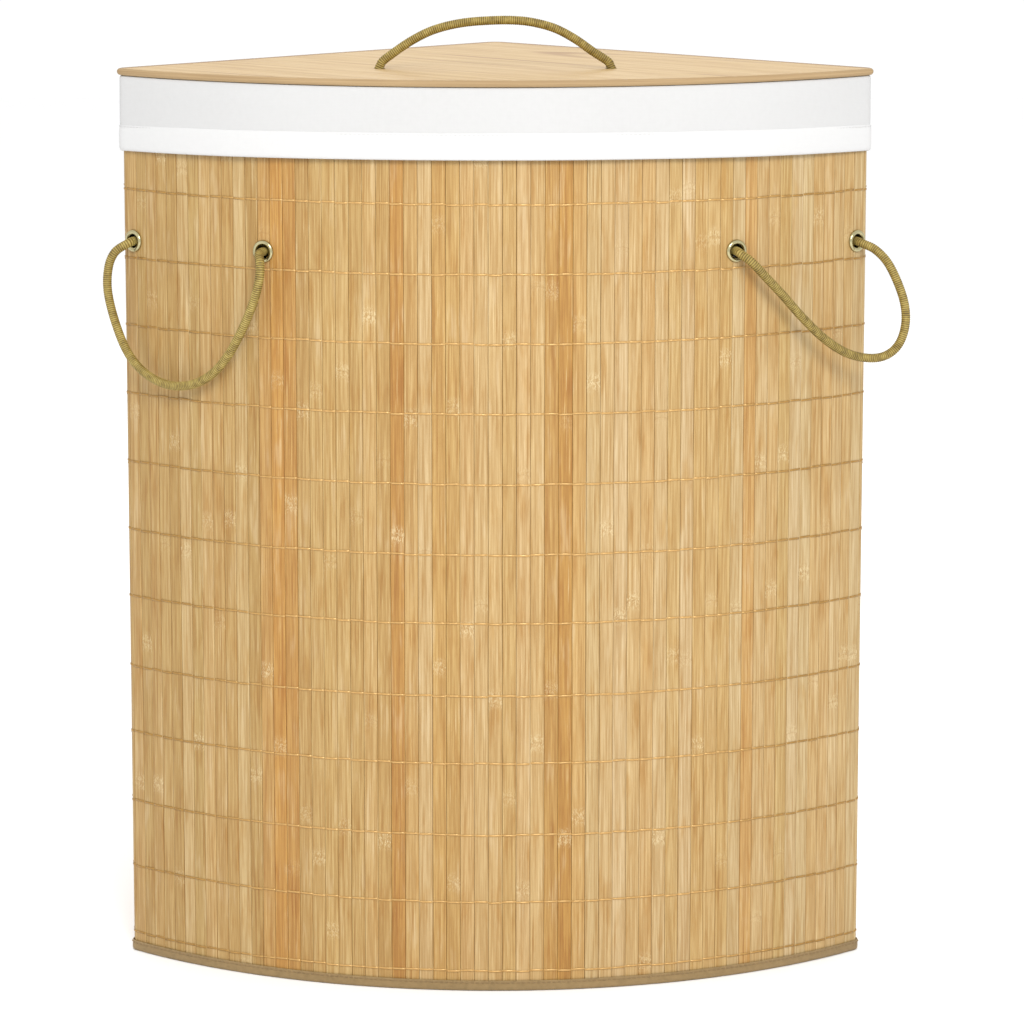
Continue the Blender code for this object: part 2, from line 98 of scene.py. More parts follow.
THREAD_ROWS = 12
FIRST_THREAD = 0.0142
LAST_THREAD = 0.5257
ROW_SCATTER = 0.0016            # how far a row of thread may be off its place
STEP_SCATTER = 0.0004           # and one slat's stretch of it
TILT_SCATTER = 0.0003
EYELET_HEIGHT = 0.490
EYELET_BEARINGS = (-42.8, -25.3, 26.4, 42.8)
EYELET_NAMES = ("left_outer", "left_inner", "right_inner", "right_outer")
EYELET_RADIUS = 0.0075
EYELET_BORE = 0.0044
EYELET_RISE = 0.00165           # how far its domed rim stands off the slats
BARREL_WALL = 0.0005
BARREL_DEPTH = 0.0046
SLAT_HOLE_RADIUS = EYELET_BORE + 0.0012
ROPE_DIAMETER = 0.0060
RIB_PITCH = 0.0014
RIB_DEPTH = 0.030               # of the rope's radius
YARN_PITCH = 0.0038             # one turn of the slant yarns
YARN_DEPTH = 0.006              # of the rope's radius
ROPE_SIDES = 18
CORD_STEP = 0.0003              # length of cord from one ring of its mesh to the next
ROUTE_STEPS = 24                # points laid between two knots of a route, before they are evened out
ROUTE_SMOOTHINGS = 6
KNOT_CORD_RADIUS = 0.0021       # less than the rope's own, as the knot is pulled tight
KNOT_SPREAD = 0.00125
KNOT_RISE = 0.00165
KNOT_BACK = 0.0045              # from where a knot is placed back to its middle
KNOT_DEPTH = 0.0060             # how far behind the slats' face a rope ends in its knot
LID_KNOT_DROP = 0.0004          # below the lid's underside
LID_HOLE_SPREAD = 0.0770
LID_HOLE_RADIUS = 0.0041
LID_HOLE_Y = APEX_Y - 0.255
LINER_INSET = 0.0170
LINER_CORNER = 0.010
COTTON_THICKNESS = 0.0007
HEM_THICKNESS = 0.0010          # two layers
TAPE_THICKNESS = 0.0005
TAPE_INSIDE = 0.0068            # how far inside the slats' face the tapes' inner turn is

# Routes of the ropes, as in the CAD: bearing round the front, stand-off from the slats, height.
LEFT_ROUTE = (
    (-42.8, 0.0060, 0.4885), (-43.6, 0.0125, 0.4830), (-44.2, 0.0150, 0.4725), (-44.3, 0.0152, 0.4560),
    (-43.3, 0.0140, 0.4345), (-41.7, 0.0125, 0.4155), (-39.4, 0.0105, 0.4030), (-36.4, 0.0095, 0.3975),
    (-33.4, 0.0095, 0.3995), (-30.8, 0.0102, 0.4075), (-28.7, 0.0112, 0.4205), (-26.9, 0.0124, 0.4380),
    (-25.4, 0.0132, 0.4575), (-24.7, 0.0128, 0.4735), (-24.8, 0.0106, 0.4835), (-25.3, 0.0060, 0.4885),
)
RIGHT_ROUTE = (
    (26.4, 0.0060, 0.4885), (27.2, 0.0115, 0.4835), (28.5, 0.0138, 0.4745), (30.6, 0.0150, 0.4610),
    (33.0, 0.0162, 0.4450), (35.6, 0.0180, 0.4300), (38.2, 0.0208, 0.4195), (40.6, 0.0250, 0.4150),
    (42.4, 0.0298, 0.4160), (43.6, 0.0340, 0.4230), (44.2, 0.0360, 0.4350), (44.4, 0.0345, 0.4480),
    (44.2, 0.0300, 0.4620), (43.8, 0.0225, 0.4765), (43.3, 0.0140, 0.4850), (42.8, 0.0060, 0.4885),
)
# The lid's rope: left or right of the centre line, forward of the holes, height over the lid.
LID_ROPE_FOOT = (
    (-0.0785, 0.0, -0.0055), (-0.0783, 0.0, -0.0032), (-0.0774, 0.0, -0.0002), (-0.0762, 0.0, 0.0024),
)
LID_ROUTE = (
    (-0.0745, 0.0000, 0.0050), (-0.0690, 0.0003, 0.0093), (-0.0555, 0.0010, 0.0185),
    (-0.0405, 0.0018, 0.0258), (-0.0216, 0.0026, 0.0304), (0.0000, 0.0030, 0.0321),
    (0.0160, 0.0030, 0.0319), (0.0284, 0.0026, 0.0300), (0.0408, 0.0020, 0.0262),
    (0.0533, 0.0012, 0.0194), (0.0645, 0.0006, 0.0115), (0.0745, 0.0000, 0.0050),
)


# ---------------------------------------------------------------- camera, lights and floor
def make_camera():
    data = bpy.data.cameras.new("camera")
    data.lens = 155.4
    data.sensor_width = 36
    data.shift_x = 0.0164
    data.shift_y = -0.05
    camera = bpy.data.objects.new("camera", data)
    bpy.context.scene.collection.objects.link(camera)
    camera.location = (0.0, -3.016, 0.828)
    camera.rotation_euler = (math.radians(90 - 9.42), 0.0, 0.0)
    bpy.context.scene.camera = camera


def area_light(name, place, target, size, power, colour=(1.0, 1.0, 1.0)):
    data = bpy.data.lights.new(name, "AREA")
    data.shape = "DISK"
    data.size = size
    data.energy = power
    data.color = colour
    light = bpy.data.objects.new(name, data)
    bpy.context.scene.collection.objects.link(light)
    light.location = place
    light.rotation_euler = (Vector(target) - Vector(place)).to_track_quat("-Z", "Y").to_euler()


def make_studio():
    scene = bpy.context.scene
    scene.view_settings.view_transform = "Standard"
    world = bpy.data.worlds.new("studio")
    world.use_nodes = True
    world.node_tree.nodes["Background"].inputs["Color"].default_value = (1.0, 1.0, 1.0, 1.0)
    world.node_tree.nodes["Background"].inputs["Strength"].default_value = 1.03
    scene.world = world
    middle = (0.0, 0.0, 0.35)
    area_light("key", (0.35, -2.60, 2.1), middle, 1.1, 62.0, (1.0, 0.99, 0.97))
    area_light("fill", (-2.4, -1.2, 1.2), middle, 1.6, 3.0)
    area_light("back", (0.0, 2.4, 2.0), middle, 1.6, 18.0)

    bpy.ops.mesh.primitive_plane_add(size=14.0)
    floor = bpy.context.active_object
    floor.name = "studio_floor"
    floor.location.z = -0.0002
    m = Material("studio_floor")
    shade = m.ramp(m.noise(None, 3.0, 2.0), (0.3, (0.955, 0.955, 0.955)), (0.7, (0.97, 0.97, 0.97)))
    m.set(Base_Color=shade, Roughness=0.9)
    floor.data.materials.append(m.look)


# ---------------------------------------------------------------- material helpers
STUDIO_GAIN = 1.42              # how much more light than white paper needs reaches the front


def srgb(red, green, blue):
    """A screen colour, 0 to 255 a channel, as linear light."""
    def linear(value):
        share = value / 255
        return share / 12.92 if share <= 0.04045 else ((share + 0.055) / 1.055) ** 2.4
    return (linear(red), linear(green), linear(blue))


def seen(red, green, blue):
    """The surface colour that shows as this screen colour in the studio's light."""
    return tuple(channel / STUDIO_GAIN for channel in srgb(red, green, blue))


class Material:
    """A material's node tree, with one short method for each kind of node."""

    def __init__(self, name):
        self.look = bpy.data.materials.new(name)
        self.look.use_nodes = True
        self.nodes = self.look.node_tree.nodes
        self.links = self.look.node_tree.links
        self.shader = self.nodes["Principled BSDF"]

    def set(self, **values):
        """Set shader sockets: Specular_IOR_Level=0.12, or a colour or another node's socket."""
        for name, value in values.items():
            self.plug(self.shader.inputs[name.replace("_", " ")], value)

    def plug(self, socket, value):
        """Set a socket from another socket, a plain colour or a number."""
        if isinstance(value, bpy.types.NodeSocket):
            self.links.new(value, socket)
        elif isinstance(value, tuple) and len(value) == 3 and socket.type == "RGBA":
            socket.default_value = (*value, 1.0)
        else:
            socket.default_value = value

    def calc(self, operation, *values):
        node = self.nodes.new("ShaderNodeMath")
        node.operation = operation
        for socket, value in zip(node.inputs, values):
            self.plug(socket, value)
        return node.outputs[0]

    def times(self, first, second):
        return self.calc("MULTIPLY", first, second)

    def add(self, first, second):
        return self.calc("ADD", first, second)

    def minus(self, first, second):
        return self.calc("SUBTRACT", first, second)

    def absolute(self, value):
        return self.calc("ABSOLUTE", value)

    def scaled(self, value, slope, start):
        """value * slope + start"""
        return self.calc("MULTIPLY_ADD", value, slope, start)

    def step(self, value, low, high):
        """0 below low, 1 above high, smooth between."""
        node = self.nodes.new("ShaderNodeMapRange")
        node.interpolation_type = "SMOOTHSTEP"
        for name, number in (("Value", value), ("From Min", low), ("From Max", high)):
            self.plug(node.inputs[name], number)
        return node.outputs["Result"]

    def ramp(self, value, *stops):
        node = self.nodes.new("ShaderNodeValToRGB")
        elements = node.color_ramp.elements
        while len(elements) < len(stops):
            elements.new(0.5)
        for element, (place, colour) in zip(elements, stops):
            element.position = place
            element.color = (*colour, 1.0)
        self.plug(node.inputs["Fac"], value)
        return node.outputs["Color"]

    def mix(self, share, first, second, blend="MIX"):
        node = self.nodes.new("ShaderNodeMix")
        node.data_type = "RGBA"
        node.blend_type = blend
        for name, value in (("Factor", share), ("A", first), ("B", second)):
            self.plug(node.inputs[name], value)
        return node.outputs["Result"]

    def darker(self, colour, tint):
        """The colour multiplied by a tint."""
        return self.mix(1.0, colour, tint, "MULTIPLY")

    def place(self):
        return self.nodes.new("ShaderNodeTexCoord").outputs["Object"]

    def split(self, vector):
        node = self.nodes.new("ShaderNodeSeparateXYZ")
        self.plug(node.inputs[0], vector)
        return tuple(node.outputs)

    def stored(self, name):
        """The three numbers of a stored vector attribute."""
        node = self.nodes.new("ShaderNodeAttribute")
        node.attribute_name = name
        return self.split(node.outputs["Vector"])

    def join(self, x, y, z):
        node = self.nodes.new("ShaderNodeCombineXYZ")
        for socket, value in zip(node.inputs, (x, y, z)):
            self.plug(socket, value)
        return node.outputs[0]

    def mapped(self, vector, scale, turn=0.0):
        node = self.nodes.new("ShaderNodeMapping")
        values = (("Vector", vector), ("Scale", scale), ("Rotation", (0.0, 0.0, turn)))
        for name, value in values:
            self.plug(node.inputs[name], value)
        return node.outputs["Vector"]

    def noise(self, vector, scale, detail, roughness=0.5, distortion=0.0):
        node = self.nodes.new("ShaderNodeTexNoise")
        values = (
            ("Scale", scale), ("Detail", detail), ("Roughness", roughness), ("Distortion", distortion),
        )
        for name, value in values:
            node.inputs[name].default_value = value
        if vector is not None:
            self.links.new(vector, node.inputs["Vector"])
        return node.outputs["Fac"]

    def bump(self, height, strength, distance):
        node = self.nodes.new("ShaderNodeBump")
        for name, value in (("Strength", strength), ("Distance", distance), ("Height", height)):
            self.plug(node.inputs[name], value)
        self.set(Normal=node.outputs["Normal"])


# ---------------------------------------------------------------- materials
def bamboo_material():
    """Split bamboo: long fibres, a tone for each slat, pale flecks at the growth nodes."""
    m = Material("bamboo_strip")
    across, height, _ = m.stored("slat_place")
    tone, warmth, seed = m.stored("slat_tone")
    below, above, _ = m.stored("slat_nodes")
    shift = m.times(seed, 37.0)

    def fibre(across_scale, height_scale, detail, roughness):
        place = m.join(m.times(across, across_scale), m.times(height, height_scale), shift)
        return m.noise(place, 1.0, detail, roughness)

    fine = fibre(1500.0, 24.0, 4.0, 0.65)
    middle = fibre(760.0, 15.0, 3.0, 0.6)
    broad = fibre(130.0, 24.0, 3.0, 0.55)

    plain = m.ramp(tone, (0.0, seen(199, 167, 107)), (0.5, seen(216, 186, 131)), (1.0, seen(221, 199, 161)))
    toasted = m.mix(tone, seen(201, 154, 80), seen(217, 171, 94))
    base = m.mix(warmth, plain, toasted)
    blush = m.step(m.noise(m.join(0.0, 0.0, shift), 1.0, 0.0), 0.4, 0.6)
    base = m.darker(base, m.mix(blush, srgb(252, 251, 240), srgb(255, 250, 240)))
    streak = m.step(middle, 0.34, 0.66)
    colour = m.mix(streak, m.darker(base, srgb(228, 216, 192)), base)
    thin = m.step(fine, 0.30, 0.62)
    colour = m.mix(thin, m.darker(colour, srgb(232, 221, 200)), colour)
    glint = m.times(m.step(fine, 0.60, 0.72), 0.55)
    colour = m.mix(glint, colour, seen(242, 218, 170))
    patch = m.step(broad, 0.50, 0.74)
    colour = m.mix(patch, colour, m.darker(colour, srgb(240, 226, 196)))
    cloudy = m.times(m.times(m.step(broad, 0.46, 0.30), 0.34), streak)
    colour = m.mix(cloudy, colour, seen(228, 204, 162))
    colour, rings = growth_nodes(m, colour, across, height, shift, seed, (below, above))

    # painted shade: the long edges are a little browner, standing in for the shade in the gaps between the
    # slats
    edge = m.step(m.absolute(across), SLAT_PITCH * 0.462, SLAT_PITCH * 0.498)
    colour = m.mix(m.times(edge, 0.12), colour, seen(166, 122, 62))
    relief = m.minus(m.add(fine, m.times(middle, 0.8)), m.times(rings, 0.8))
    m.set(Base_Color=colour, Roughness=m.scaled(fine, 0.25, 0.38))
    m.bump(relief, 0.35, 0.00025)
    return m.look


def growth_nodes(m, colour, across, height, shift, seed, distances):
    """Add a bowed ring line at each growth node, with pale fibre tufts above and below it."""
    bow = m.times(m.times(across, across), 60.0)
    place = m.join(m.times(across, 1250.0), m.times(height, 400.0), shift)
    flecks = m.noise(place, 1.0, 3.0, 0.65, 1.2)
    tuft = m.step(flecks, 0.50, 0.58)
    gap = m.step(flecks, 0.46, 0.38)
    strong = m.scaled(seed, 0.75, 0.2)
    weak = m.minus(1.1, strong)
    rings = []
    for distance, strength in zip(distances, (strong, weak)):
        away = m.absolute(m.add(distance, bow))
        near = m.times(m.step(away, 0.0085, 0.0020), strength)
        ring = m.step(away, 0.0007, 0.0001)
        pale_share = m.times(m.times(tuft, near), 0.85)
        dark_share = m.times(m.times(gap, near), 0.65)
        colour = m.mix(pale_share, colour, seen(234, 212, 164))
        colour = m.mix(dark_share, colour, seen(182, 142, 84))
        colour = m.mix(m.times(ring, 0.22), colour, seen(170, 126, 66))
        rings.append(ring)
    return colour, m.add(*rings)


BACK_EDGE_SHADE_REACH = 0.0120          # how far the painted shade reaches in from the lid's back edges


def lid_material():
    """Light veneer: soft streaks along one straight side, with a few long growth lines."""
    m = Material("lid_wood")
    place = m.place()
    along = m.mapped(place, (1.0, 1.0, 1.0), math.radians(45))
    x, y, z = m.split(along)
    level = m.add(y, m.times(m.noise(along, 3.2, 1.0), 0.030))

    def grain(along_scale, across_scale, detail):
        spot = m.join(m.times(x, along_scale), m.times(level, across_scale), m.times(z, 60.0))
        return m.noise(spot, 1.0, detail, 0.6)

    fine = grain(22.0, 1100.0, 4.0)
    wide = grain(7.0, 190.0, 4.0)
    rings = grain(0.9, 7.0, 0.0)
    colour = m.ramp(
        wide, (0.32, seen(205, 171, 115)), (0.50, seen(217, 185, 130)), (0.68, seen(226, 197, 146)),
    )
    thin = m.step(fine, 0.34, 0.58)
    colour = m.mix(thin, m.darker(colour, srgb(232, 220, 202)), colour)
    band = m.calc("PINGPONG", m.times(rings, 20.0), 1.0)
    broken = m.step(m.noise(along, 6.0, 1.0), 0.46, 0.60)
    line = m.times(m.step(band, 0.12, 0.01), broken)
    colour = m.mix(m.times(line, 0.9), colour, seen(172, 132, 84))

    # painted shade: the two straight back edges are browner, as their rounding faces away from the light
    east, north, _ = m.split(place)
    off_edge = m.minus(m.minus(APEX_Y, north), m.absolute(east))
    painted_back_shade = m.step(off_edge, BACK_EDGE_SHADE_REACH, 0.0)
    colour = m.mix(painted_back_shade, colour, m.darker(colour, srgb(178, 158, 126)))
    m.set(Base_Color=colour, Roughness=m.scaled(fine, 0.2, 0.46), Specular_IOR_Level=0.12)
    m.bump(m.minus(fine, line), 0.25, 0.0002)
    return m.look


def edging_material():
    """The lid's rounded edge strip: browner than its top, partly its own colour and partly painted shade,
    with fine layers along it.
    """
    m = Material("lid_edging")
    layers = m.noise(m.mapped(m.place(), (14.0, 14.0, 1400.0)), 1.0, 3.0)
    colour = m.ramp(layers, (0.35, seen(178, 149, 110)), (0.65, seen(196, 167, 126)))
    m.set(Base_Color=colour, Roughness=0.6, Specular_IOR_Level=0.15)
    m.bump(layers, 0.15, 0.0002)
    return m.look


def cotton_material(name, light, dark, pitch, relief_strength):
    """Plain weave of the given thread pitch, along the cloth's own two directions."""
    m = Material(name)
    along, height, _ = m.stored("cloth_place")
    scale = math.pi / pitch
    warp = m.calc("SINE", m.times(along, scale))
    weft = m.calc("SINE", m.times(height, scale))
    over = m.step(m.times(warp, weft), -0.25, 0.25)
    upper = m.times(m.absolute(warp), over)
    lower = m.times(m.absolute(weft), m.minus(1.0, over))
    threads = m.add(upper, lower)
    slub = m.noise(m.join(m.times(along, 260.0), m.times(height, 260.0), 0.0), 1.0, 3.0)
    blotch = m.noise(m.place(), 14.0, 2.0)
    shade = m.add(m.add(m.times(slub, 0.5), m.times(threads, 0.35)), m.times(blotch, 0.3))
    m.set(Base_Color=m.ramp(shade, (0.30, dark), (0.75, light)), Roughness=0.95, Sheen_Weight=0.12)
    m.bump(m.add(threads, m.times(slub, 0.6)), relief_strength, pitch * 0.4)
    return m.look


def rope_material():
    """Olive-gold cord: a tight cross-ribbed cover with lighter and darker yarns, and painted shade where its
    ribs dip.
    """
    m = Material("rope_cover")
    along, turn, _ = m.stored("rope_place")
    ribs = m.calc("SINE", m.times(along, 2 * math.pi / RIB_PITCH))
    seam = m.step(m.calc("COSINE", turn), 0.86, 0.97)
    wear = m.noise(m.place(), 260.0, 2.0)
    # painted shade: the colour darkens where the ribs dip, as shade in the cover's grooves
    shade = m.add(m.scaled(ribs, 0.15, 0.25), m.times(wear, 0.5))
    colour = m.ramp(shade, (0.25, seen(84, 65, 16)), (0.50, seen(154, 129, 54)), (0.75, seen(206, 185, 104)))
    colour = m.mix(seam, colour, m.darker(colour, srgb(206, 200, 180)))
    m.set(Base_Color=colour, Roughness=0.62)
    m.bump(ribs, 0.6, 0.00018)
    return m.look


HIGHLIGHT_FULL_WITHIN = 0.120         # the threads carry the full painted highlight this near the hamper's middle
HIGHLIGHT_NONE_BEYOND = 0.215            # and none of it beyond this


def thread_material():
    """Brown thread, with a painted highlight that lightens it towards the middle of the hamper's width."""
    m = Material("slat_thread")
    place = m.place()
    grain = m.noise(place, 400.0, 2.0)
    unhighlighted = m.ramp(grain, (0.35, seen(150, 106, 34)), (0.65, seen(168, 122, 50)))
    painted_highlight = m.ramp(grain, (0.35, seen(198, 152, 88)), (0.65, seen(214, 168, 102)))
    off_middle = m.absolute(m.split(place)[0])
    # painted highlight: the threads are lighter near the middle of the front, where the key light glints on
    # them
    colour = m.mix(m.step(off_middle, HIGHLIGHT_NONE_BEYOND, HIGHLIGHT_FULL_WITHIN), unhighlighted, painted_highlight)
    m.set(Base_Color=colour, Roughness=0.28, IOR=2.2, Specular_Tint=(1.0, 0.74, 0.38))
    return m.look


def metal_material(name, colour, roughness):
    m = Material(name)
    marks = m.noise(m.place(), 700.0, 3.0)
    tint = m.mix(marks, tuple(channel * 0.88 for channel in colour), colour)
    m.set(Base_Color=tint, Metallic=1.0, Roughness=m.scaled(marks, 0.16, roughness))
    m.bump(marks, 0.08, 0.0001)
    return m.look


def board_material():
    m = Material("pressed_board")
    place = m.place()
    fibres = m.noise(place, 420.0, 4.0, 0.7, 1.2)
    patches = m.noise(place, 26.0, 2.0)
    shade = m.add(m.times(fibres, 0.7), m.times(patches, 0.3))
    m.set(Base_Color=m.ramp(shade, (0.35, seen(150, 112, 70)), (0.65, seen(186, 148, 100))), Roughness=0.75)
    m.bump(fibres, 0.3, 0.0002)
    return m.look


# ---------------------------------------------------------------- the quarter-round outline
# A sample of the outline is (x, y, bearing): bearing is the way its outer side faces, 0 to the
# front and 90 degrees to +X, so walking to larger bearings is anticlockwise seen from above.
WALL_FACING = math.radians(135)
BACK_FACING = math.radians(180)


def round_stretch(centre, radius, first, last, steps):
    samples = []
    for step in range(steps + 1):
        bearing = first + (last - first) * step / steps
        x = centre[0] + radius * math.sin(bearing)
        y = centre[1] - radius * math.cos(bearing)
        samples.append((x, y, bearing))
    return samples


def straight_stretch(start, end, steps):
    samples = []
    for step in range(1, steps):
        share = step / steps
        x = start[0] + (end[0] - start[0]) * share
        y = start[1] + (end[1] - start[1]) * share
        samples.append((x, y, start[2]))
    return samples


def corner_rounding(inset, corner):
    if corner is None:
        return max(CORNER_ROUNDING - inset, 0.0015)
    return corner


def front_corner(inset, corner):
    """Centre and first bearing of the rounding where the arc meets the right wall."""
    reach = ARC_RADIUS - inset - corner
    off_wall = inset + corner
    along_wall = math.sqrt(reach ** 2 - off_wall ** 2)
    half = math.sqrt(0.5)
    x = (along_wall - off_wall) * half
    forward = (along_wall + off_wall) * half
    return (x, APEX_Y - forward), math.atan2(x, forward)


def front_half(inset, corner=None, steps=60, round_steps=5):
    """Samples from the front's centre to the middle of the right corner's rounding."""
    corner = corner_rounding(inset, corner)
    centre, start = front_corner(inset, corner)
    middle = (start + WALL_FACING) / 2
    arc = round_stretch((0.0, APEX_Y), ARC_RADIUS - inset, 0.0, start, steps)
    return arc + round_stretch(centre, corner, start, middle, round_steps)[1:]


def right_wall(inset, corner=None, steps=48, round_steps=5):
    """Samples from the middle of the right corner's rounding to the middle of the back one's."""
    corner = corner_rounding(inset, corner)
    centre, start = front_corner(inset, corner)
    middle = (start + WALL_FACING) / 2
    back_centre = (0.0, APEX_Y - (inset + corner) * math.sqrt(2))
    first = round_stretch(centre, corner, middle, WALL_FACING, round_steps)
    last = round_stretch(back_centre, corner, WALL_FACING, BACK_FACING, round_steps)
    return first + straight_stretch(first[-1], last[0], steps) + last


def mirrored(samples):
    return [(-x, y, -bearing) for x, y, bearing in reversed(samples)]


def whole_outline(inset, corner=None, steps=60, wall_steps=48, round_steps=5):
    """The closed outline, anticlockwise from the front's centre."""
    half = front_half(inset, corner, steps, round_steps)
    half += right_wall(inset, corner, wall_steps, round_steps)[1:]
    return half + mirrored(half)[1:-1]


def lengths_along(samples):
    """How far each sample is along the line through them, from the first."""
    walked = [0.0]
    for start, end in zip(samples, samples[1:]):
        walked.append(walked[-1] + math.dist(start[:2], end[:2]))
    return walked


# ---------------------------------------------------------------- mesh helpers
def bare_object(name, points, faces):
    mesh = bpy.data.meshes.new(name)
    mesh.from_pydata(points, [], faces)
    thing = bpy.data.objects.new(name, mesh)
    bpy.context.scene.collection.objects.link(thing)
    return thing


def new_piece(name, points, faces, look):
    piece = bare_object(name, points, faces)
    piece.data.materials.append(look)
    piece.data.shade_smooth()
    return piece


def set_vectors(piece, name, values, domain="POINT"):
    attribute = piece.data.attributes.new(name, "FLOAT_VECTOR", domain)
    attribute.data.foreach_set("vector", [number for value in values for number in value])


def grid_faces(rows, columns, closed):
    faces = []
    for row in range(rows - 1):
        for column in range(columns if closed else columns - 1):
            after = (column + 1) % columns
            low = row * columns
            high = low + columns
            faces.append((low + column, low + after, high + after, high + column))
    return faces


def tube_faces(rings, sides):
    """Faces of a tube of rings, with both ends closed."""
    faces = grid_faces(rings, sides, True)
    faces.append(tuple(reversed(range(sides))))
    faces.append(tuple(range((rings - 1) * sides, rings * sides)))
    return faces


def shifted(faces, first):
    """The faces for points that start at this index."""
    return [tuple(first + index for index in face) for face in faces]


def apply_modifiers(piece):
    bpy.context.view_layer.update()
    evaluated = piece.evaluated_get(bpy.context.evaluated_depsgraph_get())
    finished = bpy.data.meshes.new_from_object(evaluated)
    piece.modifiers.clear()
    piece.data = finished


def thicken(piece, thickness, even=True):
    """Give a cloth surface its thickness, inwards from its outer face."""
    solid = piece.modifiers.new("thickness", "SOLIDIFY")
    solid.thickness = thickness
    solid.offset = -1.0
    solid.use_even_offset = even
    apply_modifiers(piece)


def drill(piece, radius, depth, place):
    """Cut a round hole through a piece."""
    bpy.ops.mesh.primitive_cylinder_add(vertices=32, radius=radius, depth=depth)
    cutter = bpy.context.active_object
    cutter.matrix_world = place
    cut = piece.modifiers.new("hole", "BOOLEAN")
    cut.solver = "EXACT"
    cut.object = cutter
    apply_modifiers(piece)
    bpy.data.objects.remove(cutter, do_unlink=True)


def belongs(piece, body, slot, *nodes):
    """Attach a piece to the body that it rides on, and hide the CAD nodes that it stands for. The slot, its
    finish, is not used.
    """
    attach(piece, body)
    if nodes:
        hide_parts(*nodes)


def facing(bearing, outset, height):
    """Placement on the front wall with local +Z pointing outwards and local +Y upwards."""
    outward = Vector((math.sin(bearing), -math.cos(bearing), 0.0))
    turn = outward.to_track_quat("Z", "Y").to_matrix().to_4x4()
    place = outward * (ARC_RADIUS + outset)
    return Matrix.Translation((place.x, place.y + APEX_Y, height)) @ turn


def smooth_route(knots):
    """Points at even steps along a smooth curve through the knots, and its length."""
    knots = [Vector(knot) for knot in knots]
    padded = [knots[0] * 2 - knots[1]] + knots + [knots[-1] * 2 - knots[-2]]
    dense = []
    for before, start, end, after in zip(padded, padded[1:], padded[2:], padded[3:]):
        for step in range(ROUTE_STEPS):
            t = step / ROUTE_STEPS
            bend = 2 * before - 5 * start + 4 * end - after
            twist = 3 * start - before - 3 * end + after
            dense.append((2 * start + (end - before) * t + bend * t ** 2 + twist * t ** 3) / 2)
    dense.append(knots[-1])
    for _ in range(ROUTE_SMOOTHINGS):
        dense = [dense[0]] + [
            (first + middle * 2 + last) / 4 for first, middle, last in zip(dense, dense[1:], dense[2:])
        ] + [dense[-1]]
    travelled = [0.0]
    for first, second in zip(dense, dense[1:]):
        travelled.append(travelled[-1] + (second - first).length)
    count = round(travelled[-1] / CORD_STEP)
    points = []
    index = 0
    for step in range(count + 1):
        target = travelled[-1] * step / count
        while index < len(dense) - 2 and travelled[index + 1] < target:
            index += 1
        share = (target - travelled[index]) / (travelled[index + 1] - travelled[index])
        points.append(dense[index].lerp(dense[index + 1], min(share, 1.0)))
    return points, travelled[-1]


def ribbed_tube(name, path, radius, look):
    """A braided cord along closely spaced points: ribs across it and a slant yarn round it."""
    points = []
    places = []
    across = None
    for index, centre in enumerate(path):
        before = path[max(index - 1, 0)]
        after = path[min(index + 1, len(path) - 1)]
        heading = (after - before).normalized()
        if across is None:
            across = heading.orthogonal().normalized()
        across = (across - heading * across.dot(heading)).normalized()
        other = heading.cross(across)
        walked = index * CORD_STEP
        rib = math.cos(2 * math.pi * walked / RIB_PITCH)
        for side in range(ROPE_SIDES):
            turn = 2 * math.pi * side / ROPE_SIDES
            yarn = math.cos(6 * turn + 2 * math.pi * walked / YARN_PITCH)
            reach = radius * (1 - RIB_DEPTH + RIB_DEPTH * rib + YARN_DEPTH * yarn)
            points.append(centre + (across * math.cos(turn) + other * math.sin(turn)) * reach)
            places.append((walked, turn, 0.0))
    piece = new_piece(name, points, tube_faces(len(path), ROPE_SIDES), look)
    set_vectors(piece, "rope_place", places)
    return piece


# ---------------------------------------------------------------- ropes
def wall_point(degrees, outset, height):
    bearing = math.radians(degrees)
    radius = ARC_RADIUS + outset
    return Vector((radius * math.sin(bearing), APEX_Y - radius * math.cos(bearing), height))


def knot_piece(name, place, look):
    """An overhand knot pulled tight: a short length of the cord laid along a trefoil."""
    path = []
    steps = 150
    for step in range(steps + 1):
        turn = 2 * math.pi * step / steps
        ring = 2.0 + math.cos(3 * turn)
        x = ring * math.cos(2 * turn) * KNOT_SPREAD
        y = ring * math.sin(2 * turn) * KNOT_SPREAD
        path.append(place @ Vector((x, y, math.sin(3 * turn) * KNOT_RISE - KNOT_BACK)))
    return ribbed_tube(name, path, KNOT_CORD_RADIUS, look)


def rope_piece(side, body, knots, ends, look):
    """A rope through the knots of its route, tied at both ends."""
    path, length = smooth_route(knots)
    rope = ribbed_tube(f"{side}_rope", path, ROPE_DIAMETER / 2, look)
    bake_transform(rope)
    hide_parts(f"{side}_handle_rope")
    for name, place in ends:
        knot = knot_piece(f"{name}_knot", place, look)
        belongs(knot, body, "rope", f"{name}_rope_knot")


def side_rope(side, route, look):
    """A handle rope from inside one eyelet, round its loop, to inside the other."""
    start = route[0][0]
    end = route[-1][0]
    inside = (-KNOT_DEPTH, EYELET_HEIGHT)
    mouth = (0.0005, EYELET_HEIGHT - 0.0002)
    places = [(start, *inside), (start, *mouth), *route, (end, *mouth), (end, *inside)]
    knots = [wall_point(*place) for place in places]
    ends = [(name, facing(math.radians(bearing), -KNOT_DEPTH, EYELET_HEIGHT))
            for name, bearing in zip(EYELET_NAMES, EYELET_BEARINGS) if name.startswith(side)]
    rope_piece(side, "basket", knots, ends, look)


